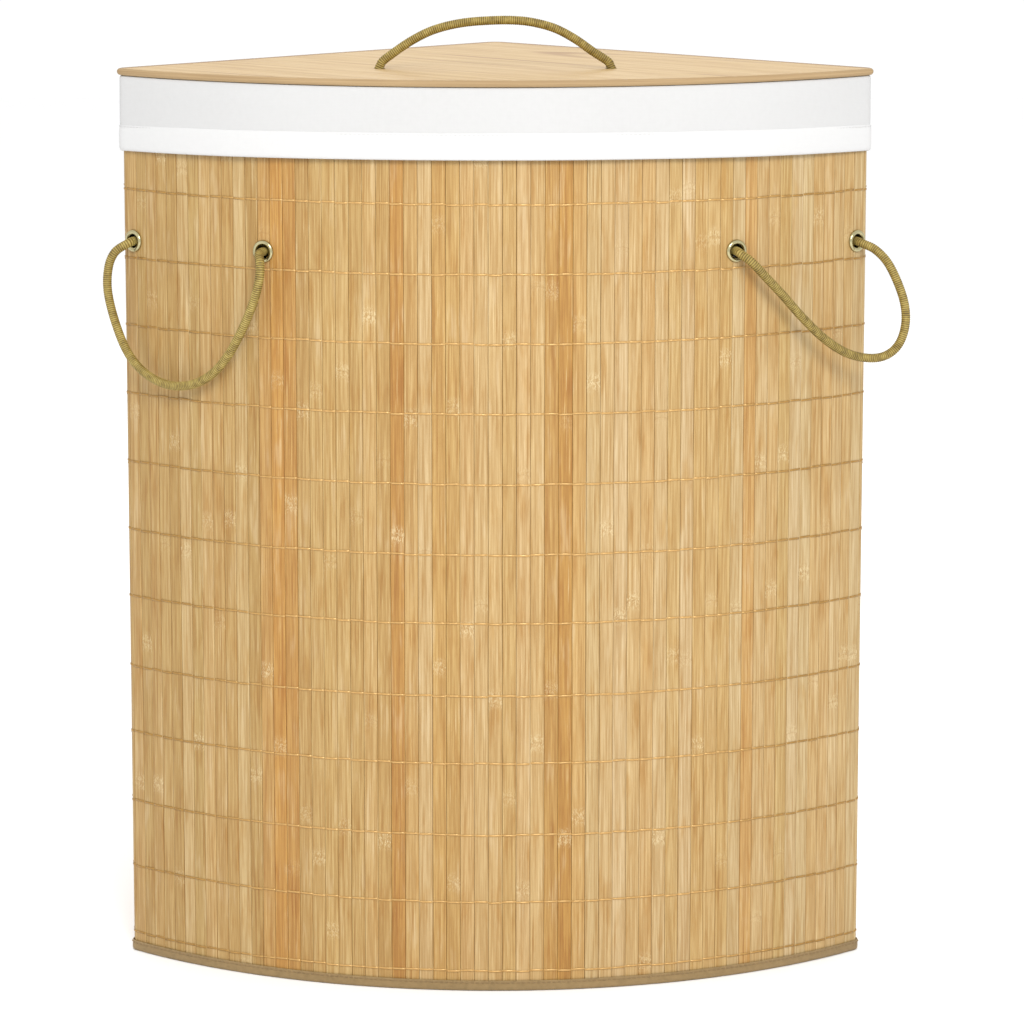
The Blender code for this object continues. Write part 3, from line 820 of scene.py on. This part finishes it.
def lid_rope(look):
    """The lid's rope: up through one hole, over in an arch, and down through the other."""
    other = [(-x, forward, rise) for x, forward, rise in reversed(LID_ROPE_FOOT)]
    knots = [Vector((x, LID_HOLE_Y - forward, LID_TOP + rise))
             for x, forward, rise in [*LID_ROPE_FOOT, *LID_ROUTE, *other]]
    ends = [(name, Matrix.Translation((side * LID_HOLE_SPREAD, LID_HOLE_Y, LID_BOTTOM - LID_KNOT_DROP)))
            for side, name in ((-1, "lid_left"), (1, "lid_right"))]
    rope_piece("lid", "lid", knots, ends, look)


# ---------------------------------------------------------------- bamboo slats
# How toasted the browner slats of the front are, by their number from the left corner.
WARM_FRONT = {
    13: 0.50, 14: 1.00, 15: 0.80, 23: 0.90, 26: 0.60, 27: 0.40,
    34: 0.65, 35: 1.00, 36: 0.65, 45: 0.35, 49: 0.55,
}


def slat_spans(samples):
    """Plan line of each slat: a straight one between two boundaries, or a bent one at a corner."""
    spans = []
    bent = None
    for start, end in zip(samples, samples[1:]):
        if math.dist(start[:2], end[:2]) < SLAT_PITCH / 2:
            if bent is None:
                bent = [start]
                spans.append(bent)
            bent.append(end)
            continue
        bent = None
        bearing = (start[2] + end[2]) / 2
        spans.append([(start[0], start[1], bearing), (end[0], end[1], bearing)])
    return spans


def along_span(span, distance):
    for start, end in zip(span, span[1:]):
        step = math.dist(start[:2], end[:2])
        if distance <= step or end is span[-1]:
            share = distance / step
            return tuple(a + (b - a) * share for a, b in zip(start, end))
        distance -= step
    return span[-1]


def slat_section(length, rng):
    """(distance along the plan line, inset) points round one slat: square back, eased front edges."""
    gap = SLAT_GAP + SLAT_GAP_SPREAD * rng.random() ** 2
    lift = rng.random() * SLAT_LIFT
    half = [
        (gap, SLAT_THICKNESS), (gap, 0.00040 + lift), (gap + 0.00007, 0.00016 + lift),
        (gap + 0.00022, 0.00004 + lift), (gap + 0.0008, lift),
    ]
    middle = [(length * 0.36, lift), (length * 0.64, lift)]
    return half + middle + [(length - distance, inset) for distance, inset in reversed(half)]


def slat_points(span, section, levels, sway, seed):
    """Points of one slat, level by level, with a slight drift and bulge."""
    points = []
    for level in levels:
        drift = SLAT_DRIFT * noise.noise(Vector((sway, level * 9.0, seed)))
        bulge = SLAT_BULGE * noise.noise(Vector((level * 14.0, sway, seed + 5.0)))
        for distance, inset in section:
            x, y, bearing = along_span(span, distance + drift)
            depth = inset - bulge + 0.0001 if inset < SLAT_THICKNESS else inset
            points.append((x - depth * math.sin(bearing), y + depth * math.cos(bearing), level))
    return points


def slat_fact(number, span, length, warm, rng):
    """What one slat is like: its tone, how toasted it is, and where its growth nodes are."""
    node_low = SLAT_BOTTOM + rng.uniform(-0.05, 0.31)
    middle = along_span(span, length / 2)
    # The front's slats grow paler towards the right: partly their own tone, partly painted sheen of the light
    # from that side.
    tone_and_sheen_paling = 0.50 * middle[0] / ARC_RADIUS if warm else 0.0
    tone = min(max(rng.gauss(0.50 + tone_and_sheen_paling, 0.24), 0.0), 1.0)
    warmth = max(0.0, rng.gauss(0.05, 0.12))
    if not warm and rng.random() < TOASTED_SHARE:
        warmth = rng.uniform(0.75, 1.0)
    warmth = warm.get(number, warmth)
    tone = (tone, warmth, rng.random())
    nodes = (node_low, node_low + rng.uniform(*NODE_SPACING))
    return {"middle": middle, "tone": tone, "nodes": nodes}


def make_slats(name, samples, node, warm, seed, look):
    """All the slats of one wall, each its own closed strip, in one mesh."""
    rng = random.Random(seed)
    levels = [SLAT_BOTTOM + (SLAT_TOP - SLAT_BOTTOM) * step / SLAT_LEVELS for step in range(SLAT_LEVELS + 1)]
    points = []
    faces = []
    owners = []
    facts = []
    for number, span in enumerate(slat_spans(samples)):
        length = lengths_along(span)[-1]
        section = slat_section(length, rng)
        strip = shifted(tube_faces(len(levels), len(section)), len(points))
        points += slat_points(span, section, levels, rng.random() * 10, seed)
        faces += [tuple(reversed(face)) for face in strip]
        owners += [number] * len(strip)
        facts.append(slat_fact(number, span, length, warm, rng))
    piece = new_piece(name, points, faces, look)
    owner = piece.data.attributes.new("slat", "INT", "FACE")
    owner.data.foreach_set("value", owners)
    if node == "front_slat_mat":
        for degrees in EYELET_BEARINGS:
            drill(piece, SLAT_HOLE_RADIUS, 0.02, facing(math.radians(degrees), 0.0, EYELET_HEIGHT))
    write_slat_facts(piece, facts)
    piece.data.set_sharp_from_angle(angle=math.radians(50))
    belongs(piece, "basket", "bamboo_slats", node)


def write_slat_facts(piece, facts):
    """Store, at each face corner, where it is on its slat and what its slat is like."""
    mesh = piece.data
    owners = mesh.attributes["slat"].data
    places = []
    tones = []
    marks = []
    for polygon in mesh.polygons:
        fact = facts[owners[polygon.index].value]
        x, y, bearing = fact["middle"]
        for corner in polygon.loop_indices:
            point = mesh.vertices[mesh.loops[corner].vertex_index].co
            across = (point.x - x) * math.cos(bearing) + (point.y - y) * math.sin(bearing)
            places.append((across, point.z, 0.0))
            tones.append(fact["tone"])
            marks.append((point.z - fact["nodes"][0], point.z - fact["nodes"][1], 0.0))
    set_vectors(piece, "slat_place", places, "CORNER")
    set_vectors(piece, "slat_tone", tones, "CORNER")
    set_vectors(piece, "slat_nodes", marks, "CORNER")


def thread_ring(sample, out, height, half_height):
    """Points round a flat thread that lies along the wall, standing out by the given amount."""
    x, y, bearing = sample
    points = []
    for side in range(THREAD_SIDES):
        turn = 2 * math.pi * side / THREAD_SIDES
        reach = out + THREAD_HALF_DEPTH * math.cos(turn)
        points.append((x + reach * math.sin(bearing), y - reach * math.cos(bearing),
                       height + half_height * math.sin(turn)))
    return points


def make_threads(name, samples, seed, look):
    """One flat thread over each row, dipping into the gaps between the slats."""
    rng = random.Random(seed)
    spans = slat_spans(samples)
    points = []
    faces = []
    for number in range(THREAD_ROWS):
        row = FIRST_THREAD + (LAST_THREAD - FIRST_THREAD) * number / (THREAD_ROWS - 1)
        row += rng.uniform(-ROW_SCATTER, ROW_SCATTER)
        first = len(points)
        rings = 0
        for span in spans:
            length = lengths_along(span)[-1]
            step = rng.uniform(-STEP_SCATTER, STEP_SCATTER)
            tilt = rng.uniform(-TILT_SCATTER, TILT_SCATTER)
            for distance, rise, climb in (
                (0.0002, -0.00060, -0.6), (0.0007, 0.00005, -0.4),
                (length * 0.35, 0.00012, -0.1), (length * 0.65, 0.00012, 0.1),
                (length - 0.0007, 0.00005, 0.4), (length - 0.0002, -0.0006, 0.6),
            ):
                height = row + step + tilt * climb
                points += thread_ring(along_span(span, distance), rise, height, THREAD_HALF_HEIGHT)
                rings += 1
        faces += shifted(tube_faces(rings, THREAD_SIDES), first)
    piece = new_piece(name, points, faces, look)
    belongs(piece, "basket", "bamboo_slats")


def make_mats(looks):
    half = front_half(0.0, steps=FRONT_SLATS, round_steps=3)
    arc = half[1:FRONT_SLATS + 1:2]
    front = mirrored(arc + half[FRONT_SLATS + 1:]) + arc + half[FRONT_SLATS + 1:]
    side = right_wall(0.0, steps=SIDE_SLATS, round_steps=3)
    walls = (("front", front, WARM_FRONT), ("right", side, {}), ("left", mirrored(side), {}))
    for seed, (name, samples, warm) in enumerate(walls, 3):
        make_slats(f"{name}_slats", samples, f"{name}_slat_mat", warm, seed, looks["bamboo"])
        make_threads(f"{name}_threads", samples, seed, looks["thread"])


# ---------------------------------------------------------------- eyelets
def lathe(name, profile, steps, place, look):
    """A closed ring turned from (radius, height) points about the local Z axis."""
    points = []
    count = len(profile)
    for step in range(steps):
        turn = 2 * math.pi * step / steps
        for radius, height in profile:
            points.append(place @ Vector((radius * math.cos(turn), radius * math.sin(turn), height)))
    faces = []
    for step in range(steps):
        low = step * count
        high = (step + 1) % steps * count
        for index in range(count):
            after = (index + 1) % count
            faces.append((low + index, high + index, high + after, low + after))
    return new_piece(name, points, faces, look)


def make_eyelets(looks):
    middle = (EYELET_RADIUS + EYELET_BORE) / 2
    half = (EYELET_RADIUS - EYELET_BORE) / 2
    dome = [(middle - half * math.cos(turn), 0.0001 + EYELET_RISE * math.sin(turn))
            for turn in (math.pi * step / 12 for step in range(13))]
    barrel = [(EYELET_RADIUS - 0.0004, -0.0001), (EYELET_BORE + BARREL_WALL, -0.0001),
              (EYELET_BORE + BARREL_WALL, -BARREL_DEPTH), (EYELET_BORE, -BARREL_DEPTH)]
    profile = list(reversed(dome + barrel))
    for name, degrees in zip(EYELET_NAMES, EYELET_BEARINGS):
        place = facing(math.radians(degrees), 0.0, EYELET_HEIGHT)
        ring = lathe(f"{name}_ring", profile, 48, place, looks["metal"])
        belongs(ring, "basket", "eyelet_metal", f"{name}_eyelet")
        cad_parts[f"{name}_eyelet_washer"].data.materials[0] = looks["metal"]


# ---------------------------------------------------------------- cloth bands and panels
def cloth_rows(name, rows, look):
    """A closed band of cloth from rows of (samples, height of each sample or one for all)."""
    points = []
    places = []
    walked = lengths_along(rows[0][0])
    climbed = 0.0
    previous = None
    for samples, heights in rows:
        if not isinstance(heights, list):
            heights = [heights] * len(samples)
        here = Vector((samples[0][0], samples[0][1], heights[0]))
        if previous is not None:
            climbed += (here - previous).length
        previous = here
        for (x, y, _), height, distance in zip(samples, heights, walked):
            points.append((x, y, height))
            places.append((distance, climbed, 0.0))
    piece = new_piece(name, points, grid_faces(len(rows), len(rows[0][0]), True), look)
    set_vectors(piece, "cloth_place", places)
    return piece


def pushed(samples, amounts):
    """Samples moved outwards by the given amounts."""
    return [(x + out * math.sin(b), y - out * math.cos(b), b) for (x, y, b), out in zip(samples, amounts)]


def ripple(samples, height, size, seed, along=11.0):
    """Soft uneven fullness, as an outward amount for each sample."""
    level = height * 9.0 + seed
    return [size * noise.noise(Vector((x * along, y * along, level))) for x, y, _ in samples]


def on_front(samples, amount):
    """amount(how far round the front) for each sample there, and nothing along the flat walls."""
    turns = [(math.atan2(x, APEX_Y - y), bearing) for x, y, bearing in samples]
    return [amount(turn) if abs(bearing) < math.radians(50) else 0.0 for turn, bearing in turns]


def stand_off(samples):
    """Where the cuff stands off the rim: a soft upright crease on each side of the front."""
    def crease(turn):
        away = abs(math.degrees(abs(turn)) - CREASE_BEARING)
        return CREASE_OUT * max(0.0, 1 - away / CREASE_WIDTH)
    return on_front(samples, crease)


def front_arch(samples, rise):
    """How much higher the cuff sits at the front's middle than at its ends, for each sample."""
    return on_front(samples, lambda turn: rise * max(0.0, math.cos(2 * turn)))


CUFF_OUTSET = 0.0019
CUFF_INSIDE = 0.0078            # the cuff's cloth inside the rim
CUFF_INNER_FOOT = CUFF_FOOT + 0.0003
HEM_OUTSET = 0.0025
HEM_FOOT = 0.5498
HEM_SEAM = 0.5676
CREASE_BEARING = 29.0           # degrees
CREASE_WIDTH = 13.0
CREASE_OUT = 0.0016
CUFF_ARCH = 0.0026              # how much higher the cuff's foot sits at the front's middle
HEM_ARCH = 0.0034
HEM_FLARE = 0.0026              # how far the hem stands off at the front's middle
HEM_PROFILE = (                 # share of the hem's height, and how far its cloth swells there
    (0.0, -0.0008), (0.03, -0.0002), (0.12, 0.0002), (0.35, 0.0003), (0.65, 0.0003),
    (0.84, 0.0001), (0.91, -0.0002), (0.96, -0.0004), (0.99, -0.0008), (1.0, -0.0013),
)


def cuff_profile():
    """(inset, height) along the cuff's cloth: up its outside, over the rim and down its inside."""
    face_height = CUFF_TOP - 0.002 - HEM_SEAM
    profile = [(-CUFF_OUTSET + 0.0002, HEM_SEAM - 0.0025), (-CUFF_OUTSET, HEM_SEAM - 0.0005)]
    profile += [(-CUFF_OUTSET - 0.0001, HEM_SEAM + face_height * step / 7) for step in range(1, 8)]
    profile += [(-CUFF_OUTSET + 0.0002, CUFF_TOP - 0.0007), (-CUFF_OUTSET + 0.0008, CUFF_TOP - 0.0001)]
    profile += [(CUFF_INSIDE - 0.0008, CUFF_TOP - 0.0001), (CUFF_INSIDE - 0.0001, CUFF_TOP - 0.0007)]
    inside_heights = (CUFF_TOP - 0.008, CUFF_TOP - 0.016, CUFF_INNER_FOOT)
    return profile + [(CUFF_INSIDE, height) for height in inside_heights]


def make_cuff(looks):
    """The band turned down over the rim, with its hem."""
    rows = []
    for inset, height in cuff_profile():
        samples = whole_outline(inset)
        drop = max(0.0, min(1.0, (CUFF_TOP - height) / (CUFF_TOP - HEM_SEAM)))
        share = drop if inset < 0 else 0.0
        full = ripple(samples, height, 0.00055 * share, 2.0)
        out = [abs(f) + c * min(1.0, share * 3) for f, c in zip(full, stand_off(samples))]
        arch = front_arch(samples, CUFF_ARCH)
        rows.append((pushed(samples, out), [height + a * share for a in arch]))
    cuff = cloth_rows("cuff_cloth", rows, looks["cotton"])
    thicken(cuff, COTTON_THICKNESS)
    belongs(cuff, "liner", "liner_cotton", "liner_cuff")
    girth = lengths_along(whole_outline(-CUFF_OUTSET))[-1]
    hem = make_hem(looks)


def make_hem(looks):
    """The double hem at the cuff's foot."""
    hem_height = HEM_SEAM - HEM_FOOT
    samples = whole_outline(-HEM_OUTSET)
    arch = front_arch(samples, HEM_ARCH)
    full = ripple(samples, 0.5, 0.0004, 2.0)
    crease = stand_off(samples)
    rows = []
    for share, bulge in HEM_PROFILE:
        height = HEM_FOOT + hem_height * share
        flare = front_arch(samples, HEM_FLARE * (1 - share))
        out = [bulge + abs(f) + away + c for f, away, c in zip(full, flare, crease)]
        rows.append((pushed(samples, out), [height + a for a in arch]))
    hem = cloth_rows("cuff_hem", rows, looks["hem"])
    thicken(hem, HEM_THICKNESS)
    belongs(hem, "liner", "liner_cotton", "liner_cuff_hem")
    return hem


BAG_FRONT_STEPS = 27            # columns of the bag's cloth in half of the front
BAG_WALL_STEPS = 34             # and in each flat wall
BAG_CORNER_STEPS = 2            # and in each half of a corner's rounding
BAG_ROWS = 56
BAG_FLOOR_RINGS = 18
BAG_FULLNESS = 0.022            # the cloth is cut this much larger than the space it hangs in
BAG_OUT = 0.0055                # the furthest that a fold may stand outwards
BAG_IN = 0.0200                 # the furthest that a point of the cloth may go from its start
FLARE_START = 0.525             # above this height the bag spreads out to the cuff
CLOTH_FRAMES = 45
SEAM_RISE = 0.0010              # the sewn edges stand this far off the bag's cloth
SEAM_TOP_ROW = 50
SEAM_INSET = 0.0071             # where the bag is sewn to the cuff
BAG_MIDDLE_Y = APEX_Y - 0.215   # where the floor's rings meet


def bag_outline(inset, corner):
    """The closed outline at the spacing of the bag's cloth."""
    return whole_outline(inset, corner, BAG_FRONT_STEPS, BAG_WALL_STEPS, BAG_CORNER_STEPS)


def bag_rows():
    """Rows of the bag as it would hang without a fold, from its foot up to the seam under the cuff."""
    rows = []
    foot = LINER_BOTTOM + 0.0003
    for step in range(BAG_ROWS + 1):
        height = foot + (CUFF_FOOT - foot) * step / BAG_ROWS
        flare = max(0.0, (height - FLARE_START) / (CUFF_FOOT - FLARE_START))
        ease = flare * flare * (3 - 2 * flare)
        inset = LINER_INSET + (SEAM_INSET - LINER_INSET) * ease
        rows.append((bag_outline(inset, LINER_CORNER * (1 - 0.6 * ease)), height))
    return rows


def cloth_mould(outline, height):
    """What stops the cloth: the basket's board below and, outside it, its walls."""
    count = len(outline)
    points = [(x, y, level) for level in (LINER_BOTTOM - 0.0016, height) for x, y, _ in outline]
    faces = [tuple(reversed(face)) for face in grid_faces(2, count, True)]
    faces.append(tuple(range(count)))
    mould = bare_object("mould", points, faces)
    mould.modifiers.new("stop", "COLLISION")
    mould.collision.thickness_outer = 0.001
    mould.collision.thickness_inner = 0.004
    return mould


def drape(points, faces, held):
    """Let the bag hang from the held points in its mould, and give back where its points settle."""
    bag = bare_object("bag", points, faces)
    pins = bag.vertex_groups.new(name="held")
    pins.add(held, 1.0, "REPLACE")
    mould = cloth_mould(bag_outline(LINER_INSET - BAG_OUT, LINER_CORNER), CUFF_FOOT)
    cloth = bag.modifiers.new("cloth", "CLOTH")
    cloth.settings.vertex_group_mass = "held"
    cloth.settings.quality = 6
    cloth.settings.mass = 0.15
    cloth.settings.tension_stiffness = 20.0
    cloth.settings.compression_stiffness = 20.0
    cloth.settings.shear_stiffness = 8.0
    cloth.settings.bending_stiffness = 0.4
    cloth.settings.air_damping = 3.0
    cloth.settings.shrink_min = -BAG_FULLNESS
    cloth.collision_settings.distance_min = 0.001
    cloth.collision_settings.collision_quality = 2
    cloth.point_cache.frame_start = 1
    cloth.point_cache.frame_end = CLOTH_FRAMES
    scene = bpy.context.scene
    for number in range(1, CLOTH_FRAMES + 1):
        scene.frame_set(number)
    evaluated = bag.evaluated_get(bpy.context.evaluated_depsgraph_get())
    settled = [vertex.co.copy() for vertex in evaluated.data.vertices]
    for item in (bag, mould):
        bpy.data.objects.remove(item, do_unlink=True)
    scene.frame_set(1)
    return settled


def kept_in(settled, start):
    """Cap how far each point went, least near the foot, so that the bag stays in its own space."""
    capped = []
    for point, first in zip(settled, start):
        move = point - first
        reach = BAG_IN * min(1.0, 0.2 + first.z / 0.10)
        if move.length > reach:
            move = move * (reach / move.length)
        place = first + move
        place.z = max(place.z, LINER_BOTTOM)
        capped.append(place)
    return capped


def settle_bag():
    """The bag's points after it hangs: (rows of the walls, rings of the floor with its middle last)."""
    rows = bag_rows()
    columns = len(rows[0][0])
    walls = [Vector((x, y, height)) for samples, height in rows for x, y, _ in samples]
    centre = Vector((0.0, BAG_MIDDLE_Y, LINER_BOTTOM + 0.0003))
    rings = []
    for ring in range(1, BAG_FLOOR_RINGS):
        rings += [point.lerp(centre, ring / BAG_FLOOR_RINGS) for point in walls[:columns]]
    points = walls + rings + [centre]
    faces = grid_faces(len(rows), columns, True)
    first = len(walls)
    inward = [list(range(columns))]
    for ring in range(BAG_FLOOR_RINGS - 1):
        low = first + ring * columns
        inward.append(list(range(low, low + columns)))
    for outer, inner in zip(inward, inward[1:]):
        for index in range(columns):
            after = (index + 1) % columns
            faces.append((outer[after], outer[index], inner[index], inner[after]))
    last = inward[-1]
    faces += [(last[(index + 1) % columns], last[index], len(points) - 1) for index in range(columns)]
    held = list(range(first - columns, first))
    settled = kept_in(drape(points, faces, held), points)
    grid = [settled[row * columns:(row + 1) * columns] for row in range(len(rows))]
    floor = [[settled[index] for index in ring] for ring in inward]
    return grid, floor, settled[-1]


def panel_piece(name, grid, look):
    """One cut of the bag's cloth from rows of settled points, with its own two directions stored."""
    points = []
    places = []
    climbed = 0.0
    for number, row in enumerate(grid):
        climbed += (row[0] - grid[number - 1][0]).length if number else 0.0
        walked = 0.0
        for index, point in enumerate(row):
            walked += (point - row[index - 1]).length if index else 0.0
            points.append(point)
            places.append((walked, climbed, 0.0))
    piece = new_piece(name, points, grid_faces(len(grid), len(grid[0]), False), look)
    set_vectors(piece, "cloth_place", places)
    return piece


def finish_sheet(piece, thickness, *nodes):
    finer = piece.modifiers.new("finer", "SUBSURF")
    finer.levels = 1
    finer.render_levels = 1
    finer.boundary_smooth = "PRESERVE_CORNERS"
    apply_modifiers(piece)
    thicken(piece, thickness, even=False)
    belongs(piece, "liner", "liner_cotton", *nodes)


def raised(grid, amount):
    """A grid of points moved out of the bag, square to its own surface."""
    moved = []
    for number, row in enumerate(grid):
        below = grid[max(number - 1, 0)]
        above = grid[min(number + 1, len(grid) - 1)]
        line = []
        for index, point in enumerate(row):
            before = row[max(index - 1, 0)]
            after = row[min(index + 1, len(row) - 1)]
            outward = (after - before).cross(above[index] - below[index]).normalized()
            line.append(point + outward * amount)
        moved.append(line)
    return moved


def seam_piece(name, grid, look):
    """Where two cuts of the bag are sewn together: the turned edges lie flat as a narrow band."""
    seam = panel_piece(name, raised(grid, SEAM_RISE), look)
    finish_sheet(seam, SEAM_RISE - 0.0001)
    return seam


def make_liner(looks):
    grid, floor, middle = settle_bag()
    columns = len(grid[0])
    front_half_count = BAG_FRONT_STEPS + BAG_CORNER_STEPS
    wall_count = BAG_WALL_STEPS + 2 * BAG_CORNER_STEPS
    right_end = front_half_count + wall_count
    cuts = (
        ("front", range(-front_half_count, front_half_count + 1)),
        ("right", range(front_half_count, right_end + 1)),
        ("left", range(right_end, right_end + wall_count + 1)),
    )
    for side, cut in cuts:
        rows = [[row[index % columns] for index in cut] for row in grid]
        panel = panel_piece(f"liner_{side}", rows, looks["cotton"])
        finish_sheet(panel, COTTON_THICKNESS, f"liner_{side}_panel")
        edge = [row[-2:] for row in rows[:SEAM_TOP_ROW]]
        seam = seam_piece(f"liner_{side}_seam", edge, looks["cotton"])
        outline = bag_outline(LINER_INSET, LINER_CORNER)
    make_liner_floor(looks, floor, middle)


def make_liner_floor(looks, rings, middle):
    """The bag's floor, from the rings of settled points."""
    count = len(rings[0])
    points = [point for ring in rings for point in ring] + [middle]
    faces = [tuple(reversed(face)) for face in grid_faces(len(rings), count, True)]
    last = (len(rings) - 1) * count
    faces += [(last + (index + 1) % count, last + index, len(points) - 1) for index in range(count)]
    floor = new_piece("liner_base", points, faces, looks["cotton"])
    set_vectors(floor, "cloth_place", [(point.x, point.y, 0.0) for point in points])
    finish_sheet(floor, COTTON_THICKNESS, "liner_floor")


def make_bindings(looks):
    """Woven tape folded round the foot and round the rim of the slat mats."""
    for name, node, foot, edge, direction in (
        ("foot_tape", "bottom_binding", 0.0, BINDING_HEIGHT, 1),
        ("rim_tape", "top_binding", TOP_BINDING_HIGH.z, TOP_BINDING_LOW.z, -1),
    ):
        turn = 0.0007 * direction
        outer = [(-0.0008, edge), (-0.00105, edge - turn), (-0.0011, foot + turn * 3), (-0.0009, foot + turn)]
        under = [(-0.0004, foot + turn * 0.25), (0.0003, foot), (TAPE_INSIDE - 0.0004, foot)]
        inside = [(TAPE_INSIDE, level) for level in (foot + turn * 0.6, foot + turn * 4, edge)]
        profile = outer + under + inside
        if direction > 0:
            profile = list(reversed(profile))
        rows = []
        for inset, height in profile:
            samples = whole_outline(inset)
            wave = ripple(samples, 1.0, 0.00012, 7.0, along=40.0)
            rows.append((pushed(samples, wave if inset < 0 else [0.0] * len(wave)), height))
        tape = cloth_rows(name, rows, looks["tape"])
        thicken(tape, TAPE_THICKNESS)
        belongs(tape, "basket", "binding_tape", node)


# ---------------------------------------------------------------- stitches
def make_stitches(name, samples, height_at, outset, pitch, body, slot, look):
    """A row of short stitches along the outline, each a small bent bar with its ends let into the cloth."""
    closed = samples + [samples[0]]
    walked = lengths_along(closed)
    points = []
    faces = []
    total = walked[-1]
    count = int(total / pitch)
    index = 0
    for stitch in range(count):
        first = len(points)
        for share, rise in STITCH_PROFILE:
            target = total * (stitch + share) / count
            while walked[index + 1] < target:
                index += 1
            part = (target - walked[index]) / (walked[index + 1] - walked[index])
            start = closed[index]
            end = closed[index + 1]
            x = start[0] + (end[0] - start[0]) * part
            y = start[1] + (end[1] - start[1]) * part
            sample = (x, y, start[2])
            points += thread_ring(sample, outset + rise, height_at(sample), STITCH_HALF_HEIGHT)
        faces += shifted(tube_faces(len(STITCH_PROFILE), THREAD_SIDES), first)
    piece = new_piece(name, points, faces, look)
    belongs(piece, body, slot)


def make_all_stitches(looks):
    def arch_height(sample):
        return HEM_SEAM + front_arch([sample], HEM_STITCH_ARCH)[0] - HEM_STITCH_DROP

    def foot_height(sample):
        return BINDING_HEIGHT - FOOT_STITCH_DROP

    hem_line = whole_outline(-HEM_OUTSET)
    make_stitches("hem_stitches", hem_line, arch_height, outset=-0.0001, pitch=0.0030,
                  body="liner", slot="liner_cotton", look=looks["white_thread"])
    foot_line = whole_outline(-0.0010)
    make_stitches("foot_stitches", foot_line, foot_height, outset=0.0002, pitch=0.0034,
                  body="basket", slot="binding_tape", look=looks["brown_thread"])


# ---------------------------------------------------------------- lid
def lid_mesh():
    """Points and faces of the lid's board; the faces of its rounded edge come first."""
    thickness = LID_TOP - LID_BOTTOM
    turns = 8
    points = []
    for step in range(turns + 1):
        angle = math.pi * (step / turns - 0.5)
        inset = LID_EDGE_ROUNDING * (1 - math.cos(angle)) - LID_OVERHANG
        height = LID_BOTTOM + thickness / 2 * (1 + math.sin(angle))
        outline = whole_outline(inset, LID_CORNER - LID_EDGE_ROUNDING)
        points += [(x, y, height) for x, y, _ in outline]
    count = len(outline)
    inner_low = len(points)
    inner_line = whole_outline(LID_FLAT_INSET - LID_OVERHANG, LID_CORNER - LID_FLAT_INSET)
    for height in (LID_BOTTOM, LID_TOP):
        points += [(x, y, height) for x, y, _ in inner_line]
    faces = grid_faces(turns + 1, count, True)
    edge_faces = len(faces)
    top = turns * count
    inner_top = inner_low + count
    for index in range(count):
        after = (index + 1) % count
        faces.append((inner_low + index, inner_low + after, after, index))
        faces.append((top + index, top + after, inner_top + after, inner_top + index))
    faces.append(tuple(reversed(range(inner_low, inner_low + count))))
    faces.append(tuple(range(inner_top, inner_top + count)))
    return points, faces, edge_faces


def make_lid(looks):
    """A thin veneered board with a rounded edge and two holes for its rope."""
    points, faces, edge_faces = lid_mesh()
    lid = new_piece("lid_panel", points, faces, looks["lid"])
    lid.data.materials.append(looks["edging"])
    for polygon in lid.data.polygons[:edge_faces]:
        polygon.material_index = 1
    for side in (-1, 1):
        place = Matrix.Translation((side * LID_HOLE_SPREAD, LID_HOLE_Y, LID_BOTTOM))
        drill(lid, LID_HOLE_RADIUS, 0.03, place)
    lid.data.set_sharp_from_angle(angle=math.radians(40))
    belongs(lid, "lid", "lid_veneer", "lid_board", "lid_top_veneer", "lid_edge_band")


def dress_frame(looks):
    """Materials for the CAD pieces that are shown as they are."""
    dressing = {
        "backing_cloth": "backing", "base_cloth": "backing", "base_board": "board",
        "top_wire_hoop": "wire", "bottom_wire_hoop": "wire",
    }
    for node, look in dressing.items():
        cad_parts[node].data.materials.clear()
        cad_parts[node].data.materials.append(looks[look])


def make_looks():
    looks = {
        "bamboo": bamboo_material(),
        "thread": thread_material(),
        "metal": metal_material("eyelet_plate", srgb(186, 178, 138), 0.14),
        "wire": metal_material("hoop_steel", srgb(170, 170, 170), 0.30),
        "rope": rope_material(),
        "lid": lid_material(),
        "edging": edging_material(),
        "board": board_material(),
    }
    for look, name, light, dark, pitch, relief in (
        # The liner's cotton and the hem's are one cloth in two tones: the greyer one, worn by the cuff and
        # liner, is painted shade, standing in for the lid's shade over the band above the hem.
        ("cotton", "liner_weave", (221, 221, 221), (215, 215, 215), 0.0009, 0.08),
        ("hem", "hem_weave", (233, 233, 233), (228, 228, 228), 0.0009, 0.08),
        ("tape", "tape_weave", (172, 144, 98), (134, 110, 70), 0.0007, 0.5),
        ("backing", "backing_weave", (206, 190, 158), (176, 160, 128), 0.0008, 0.4),
        ("white_thread", "white_sewing", (232, 232, 232), (220, 220, 220), 0.0004, 0.3),
        ("brown_thread", "brown_sewing", (176, 146, 102), (146, 118, 78), 0.0004, 0.3),
    ):
        looks[look] = cotton_material(name, seen(*light), seen(*dark), pitch, relief)
    return looks


make_camera()
make_studio()
LOOKS = make_looks()
side_rope("left", LEFT_ROUTE, LOOKS["rope"])
side_rope("right", RIGHT_ROUTE, LOOKS["rope"])
lid_rope(LOOKS["rope"])
make_mats(LOOKS)
make_eyelets(LOOKS)
make_bindings(LOOKS)
make_cuff(LOOKS)
make_liner(LOOKS)
make_all_stitches(LOOKS)
make_lid(LOOKS)
dress_frame(LOOKS)
